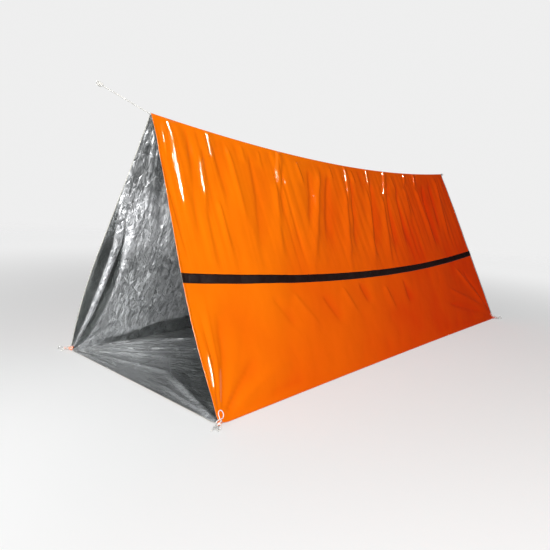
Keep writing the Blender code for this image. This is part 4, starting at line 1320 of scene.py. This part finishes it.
class TUBETENT_OT_cords(bpy.types.Operator):
    """Make the ridge cord, its free front stretch and both stopper knots"""

    bl_idname = "tube_tent.cords"
    bl_label = "Ridge cord"

    def execute(self, context):
        held, outward = ridge_cord_route()
        guy, onward = front_guy_route()
        trim, finish = context.scene.tube_tent.trim, finishes()["cord_white"]
        made = {}
        for node, route, spacing in (
            ("ridge_cord", held, RIDGE_SPACING),
            ("front_guy", guy, GUY_SPACING),
            ("front_knot", knot_route(guy[-1], onward), KNOT_SPACING),
            ("back_knot", knot_route(held[-1], outward), KNOT_SPACING),
        ):
            made[node] = make_cord(f"{node}_laid", route, CORD_DIAMETER, trim, finish, spacing)
        for node, piece in made.items():
            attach(piece, BODY)
            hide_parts(node)
        length = sum((b - a).length for a, b in zip(guy, guy[1:]))
        tuple(guy[0])
        [tuple(p) for p in guy]
        return {"FINISHED"}


class TUBETENT_OT_film(bpy.types.Operator):
    """Make both walls and the ground sheet of thin film"""

    bl_idname = "tube_tent.film"
    bl_label = "Film"

    def execute(self, context):
        film = context.scene.tube_tent.film
        made = finishes()
        for name, side in SIDES.items():
            wall = make_wall(side, f"{name}_wall_film", made, film.fold_scale)
            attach(wall, BODY)
            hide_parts(f"{name}_wall")
        ground = make_ground("ground_sheet_film", made, film.fold_scale)
        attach(ground, BODY)
        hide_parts("ground_sheet")
        return {"FINISHED"}


class TUBETENT_OT_bands(bpy.types.Operator):
    """Make the tape band along each wall"""

    bl_idname = "tube_tent.bands"
    bl_label = "Tape bands"

    def execute(self, context):
        film = context.scene.tube_tent.film
        made = finishes()
        for name, side in SIDES.items():
            band = make_band(side, f"{name}_band_tape", made, film.fold_scale)
            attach(band, BODY)
            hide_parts(f"{name}_band")
        return {"FINISHED"}


class TUBETENT_OT_corners(bpy.types.Operator):
    """Make the gathered film and the tie at each bottom corner"""

    bl_idname = "tube_tent.corners"
    bl_label = "Gathers and ties"

    def execute(self, context):
        trim = context.scene.tube_tent.trim
        made = finishes()
        for seed, (name, (side, end)) in enumerate(CORNERS.items()):
            corner = Corner(side, end)
            gather = make_gather(f"{name}_gather_film", corner, seed + GATHER_SEED, made)
            route = smooth_route(list(tie_route(corner)), TIE_DIAMETER)
            tie = make_cord(f"{name}_tie_laid", route, TIE_DIAMETER, trim, made["cord_white"], KNOT_SPACING)
            for piece, node in ((gather, f"{name}_gather"), (tie, f"{name}_tie")):
                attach(piece, BODY)
                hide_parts(node)
        return {"FINISHED"}


class TUBETENT_OT_pegs(bpy.types.Operator):
    """Give the wire pegs their finish"""

    bl_idname = "tube_tent.pegs"
    bl_label = "Pegs"

    def execute(self, context):
        steel = finishes()["wire_steel"]
        for name in CORNERS:
            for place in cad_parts[f"{name}_peg"].material_slots:
                place.material = steel
        return {"FINISHED"}


class TUBETENT_PT_panel(bpy.types.Panel):
    bl_idname = "TUBETENT_PT_panel"
    bl_label = "Tube Tent"
    bl_space_type = "VIEW_3D"
    bl_region_type = "UI"
    bl_category = "Tube Tent"

    def draw(self, context):
        settings = context.scene.tube_tent
        for operator, group in (
            ("tube_tent.film", settings.film),
            ("tube_tent.cords", settings.trim),
            ("tube_tent.stage", settings.stage),
        ):
            self.layout.operator(operator)
            for key in group.__annotations__:
                self.layout.prop(group, key)
        for operator in ("tube_tent.bands", "tube_tent.corners", "tube_tent.pegs"):
            self.layout.operator(operator)


# ---------------------------------------------------------------- stage

CAMERA_PLACE = (1.4572, -2.1357, 0.6543)
CAMERA_AZIMUTH = 41.207
CAMERA_ELEVATION = 8.252
CAMERA_ROLL = 3.728
CAMERA_LENS = 32.25
CAMERA_SENSOR = 36.0
FLAG_DISTANCE = 4.3
FLAG_HEIGHTS = (0.03, 6.5)
FLAG_START = -12.0
FLAG_END = 88.0
FLAG_STEPS = 16
FLOOR_SIDES = 96
FLOOR_DROP = 0.0008
BACKDROP = (0.86, 0.86, 0.86, 1.0)
OVERHEAD = (0.16, 0.165, 0.175, 1.0)
SKY_LIGHT = (0.97, 0.98, 1.0, 1.0)
SKY_STRENGTH = 0.24
BACKDROP_FADE = (0.40, 0.66)

# Lamps: setting of their power and share of it, place, aim, size, spread in degrees, and if they only make glints
LAMPS = (
    ("key_lamp", "key_power", 1.0, (3.2, -3.2, 2.7), (0.1, -0.4, 0.4), (1.4, 1.4), 180.0, False),
    ("strip_lamp_front", "strip_power", 1.0, (2.262, -0.458, 2.596), (-0.068, -1.048, 0.991),
     (0.16, 3.4), 60.0, True),
    ("strip_lamp_back", "strip_power", 0.84, (2.151, 0.695, 3.349), (-0.125, 0.532, 1.099),
     (0.32, 3.2), 40.0, True),
    ("fill_lamp", "fill_power", 1.0, (0.40, -2.80, 0.38), (-0.28, -0.8, 0.40), (0.8, 0.5), 60.0, False),
)


def make_camera():
    azimuth, elevation, roll = (math.radians(v) for v in (CAMERA_AZIMUTH, CAMERA_ELEVATION, CAMERA_ROLL))
    level = math.cos(elevation)
    forward = Vector((-math.sin(azimuth) * level, math.cos(azimuth) * level, -math.sin(elevation)))
    right = forward.cross(UP).normalized()
    over = right.cross(forward)
    turned = right * math.cos(roll) + over * math.sin(roll)
    upright = over * math.cos(roll) - right * math.sin(roll)
    data = bpy.data.cameras.new("camera")
    data.lens = CAMERA_LENS
    data.sensor_width = CAMERA_SENSOR
    camera = add_object("camera", data)
    matrix = Matrix((turned, upright, -forward)).transposed().to_4x4()
    matrix.translation = Vector(CAMERA_PLACE)
    camera.matrix_world = matrix
    bpy.context.scene.camera = camera


def make_floor(stage):
    turns = [2 * math.pi * k / FLOOR_SIDES for k in range(FLOOR_SIDES)]
    radius = stage.floor_radius
    points = [(radius * math.cos(turn), radius * math.sin(turn), -FLOOR_DROP) for turn in turns]
    mesh = bpy.data.meshes.new("floor")
    mesh.from_pydata(points, [], [tuple(range(FLOOR_SIDES))])
    mesh.materials.append(floor_finish(stage))
    floor = add_object("floor", mesh)
    floor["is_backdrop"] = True


def make_world():
    """Pale backdrop all round the horizon, darker overhead, and a plainer light on the object."""
    world = bpy.data.worlds.new("studio")
    world.use_nodes = True
    world.node_tree.nodes.clear()
    w = Nodes(world.node_tree)
    height = w.parts(w.add("ShaderNodeTexCoord").outputs["Generated"])["Z"]
    dome = w.mix(w.span(height, *BACKDROP_FADE), BACKDROP, OVERHEAD)
    backdrop = w.add("ShaderNodeBackground", {"Color": dome, "Strength": 1.0}).outputs[0]
    light = w.add("ShaderNodeBackground", {"Color": SKY_LIGHT, "Strength": SKY_STRENGTH}).outputs[0]
    both = w.add("ShaderNodeMixShader", {0: w.seen(), 1: light, 2: backdrop}).outputs[0]
    w.add("ShaderNodeOutputWorld", {"Surface": both})
    bpy.context.scene.world = world


def make_lamp(name, place, aim, size, power, spread, glints_only):
    data = bpy.data.lights.new(name, "AREA")
    data.shape = "RECTANGLE"
    data.size, data.size_y = size
    data.energy = power
    data.spread = math.radians(spread)
    lamp = add_object(name, data)
    turned = (Vector(aim) - Vector(place)).to_track_quat("-Z", "Y").to_matrix().to_4x4()
    lamp.matrix_world = Matrix.Translation(place) @ turned
    lamp.visible_diffuse = not glints_only


def make_flag():
    """A dark studio flag beside the tent, out of every view, that keeps the film's gloss from paling its colour."""
    points = []
    for k in range(FLAG_STEPS + 1):
        angle = math.radians(FLAG_START + (FLAG_END - FLAG_START) * k / FLAG_STEPS)
        for height in FLAG_HEIGHTS:
            points.append((FLAG_DISTANCE * math.sin(angle), FLAG_DISTANCE * math.cos(angle), height))
    mesh = bpy.data.meshes.new("flag")
    mesh.from_pydata(points, [], [(2 * k, 2 * k + 2, 2 * k + 3, 2 * k + 1) for k in range(FLAG_STEPS)])
    f = Finish("flag")
    f.set(Base_Color=(0.03, 0.03, 0.03, 1.0), Roughness=0.9, Specular_IOR_Level=0.0)
    mesh.materials.append(f.material)
    flag = add_object("flag", mesh)
    flag.visible_camera = flag.visible_diffuse = flag.visible_shadow = False
    flag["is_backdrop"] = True


def make_lamps(stage):
    for name, setting, share, place, aim, size, spread, glints_only in LAMPS:
        make_lamp(name, place, aim, size, share * getattr(stage, setting), spread, glints_only)


# ---------------------------------------------------------------- run

CLASSES = (
    TUBETENT_PG_film,
    TUBETENT_PG_trim,
    TUBETENT_PG_stage,
    TUBETENT_PG_settings,
    TUBETENT_OT_stage,
    TUBETENT_OT_cords,
    TUBETENT_OT_film,
    TUBETENT_OT_bands,
    TUBETENT_OT_corners,
    TUBETENT_OT_pegs,
    TUBETENT_PT_panel,
)


def register():
    for cls in CLASSES:
        bpy.utils.register_class(cls)
    bpy.types.Scene.tube_tent = bpy.props.PointerProperty(type=TUBETENT_PG_settings)


def unregister():
    del bpy.types.Scene.tube_tent
    for cls in reversed(CLASSES):
        bpy.utils.unregister_class(cls)


def main():
    register()
    bpy.ops.tube_tent.stage()
    bpy.ops.tube_tent.cords()
    bpy.ops.tube_tent.film()
    bpy.ops.tube_tent.bands()
    bpy.ops.tube_tent.corners()
    bpy.ops.tube_tent.pegs()
    boxes = {"cad": CAD_BOX, "visual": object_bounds()}
    plain = {key: [[float(v) for v in corner] for corner in box] for key, box in boxes.items()}


if __name__ == "__main__":
    main()
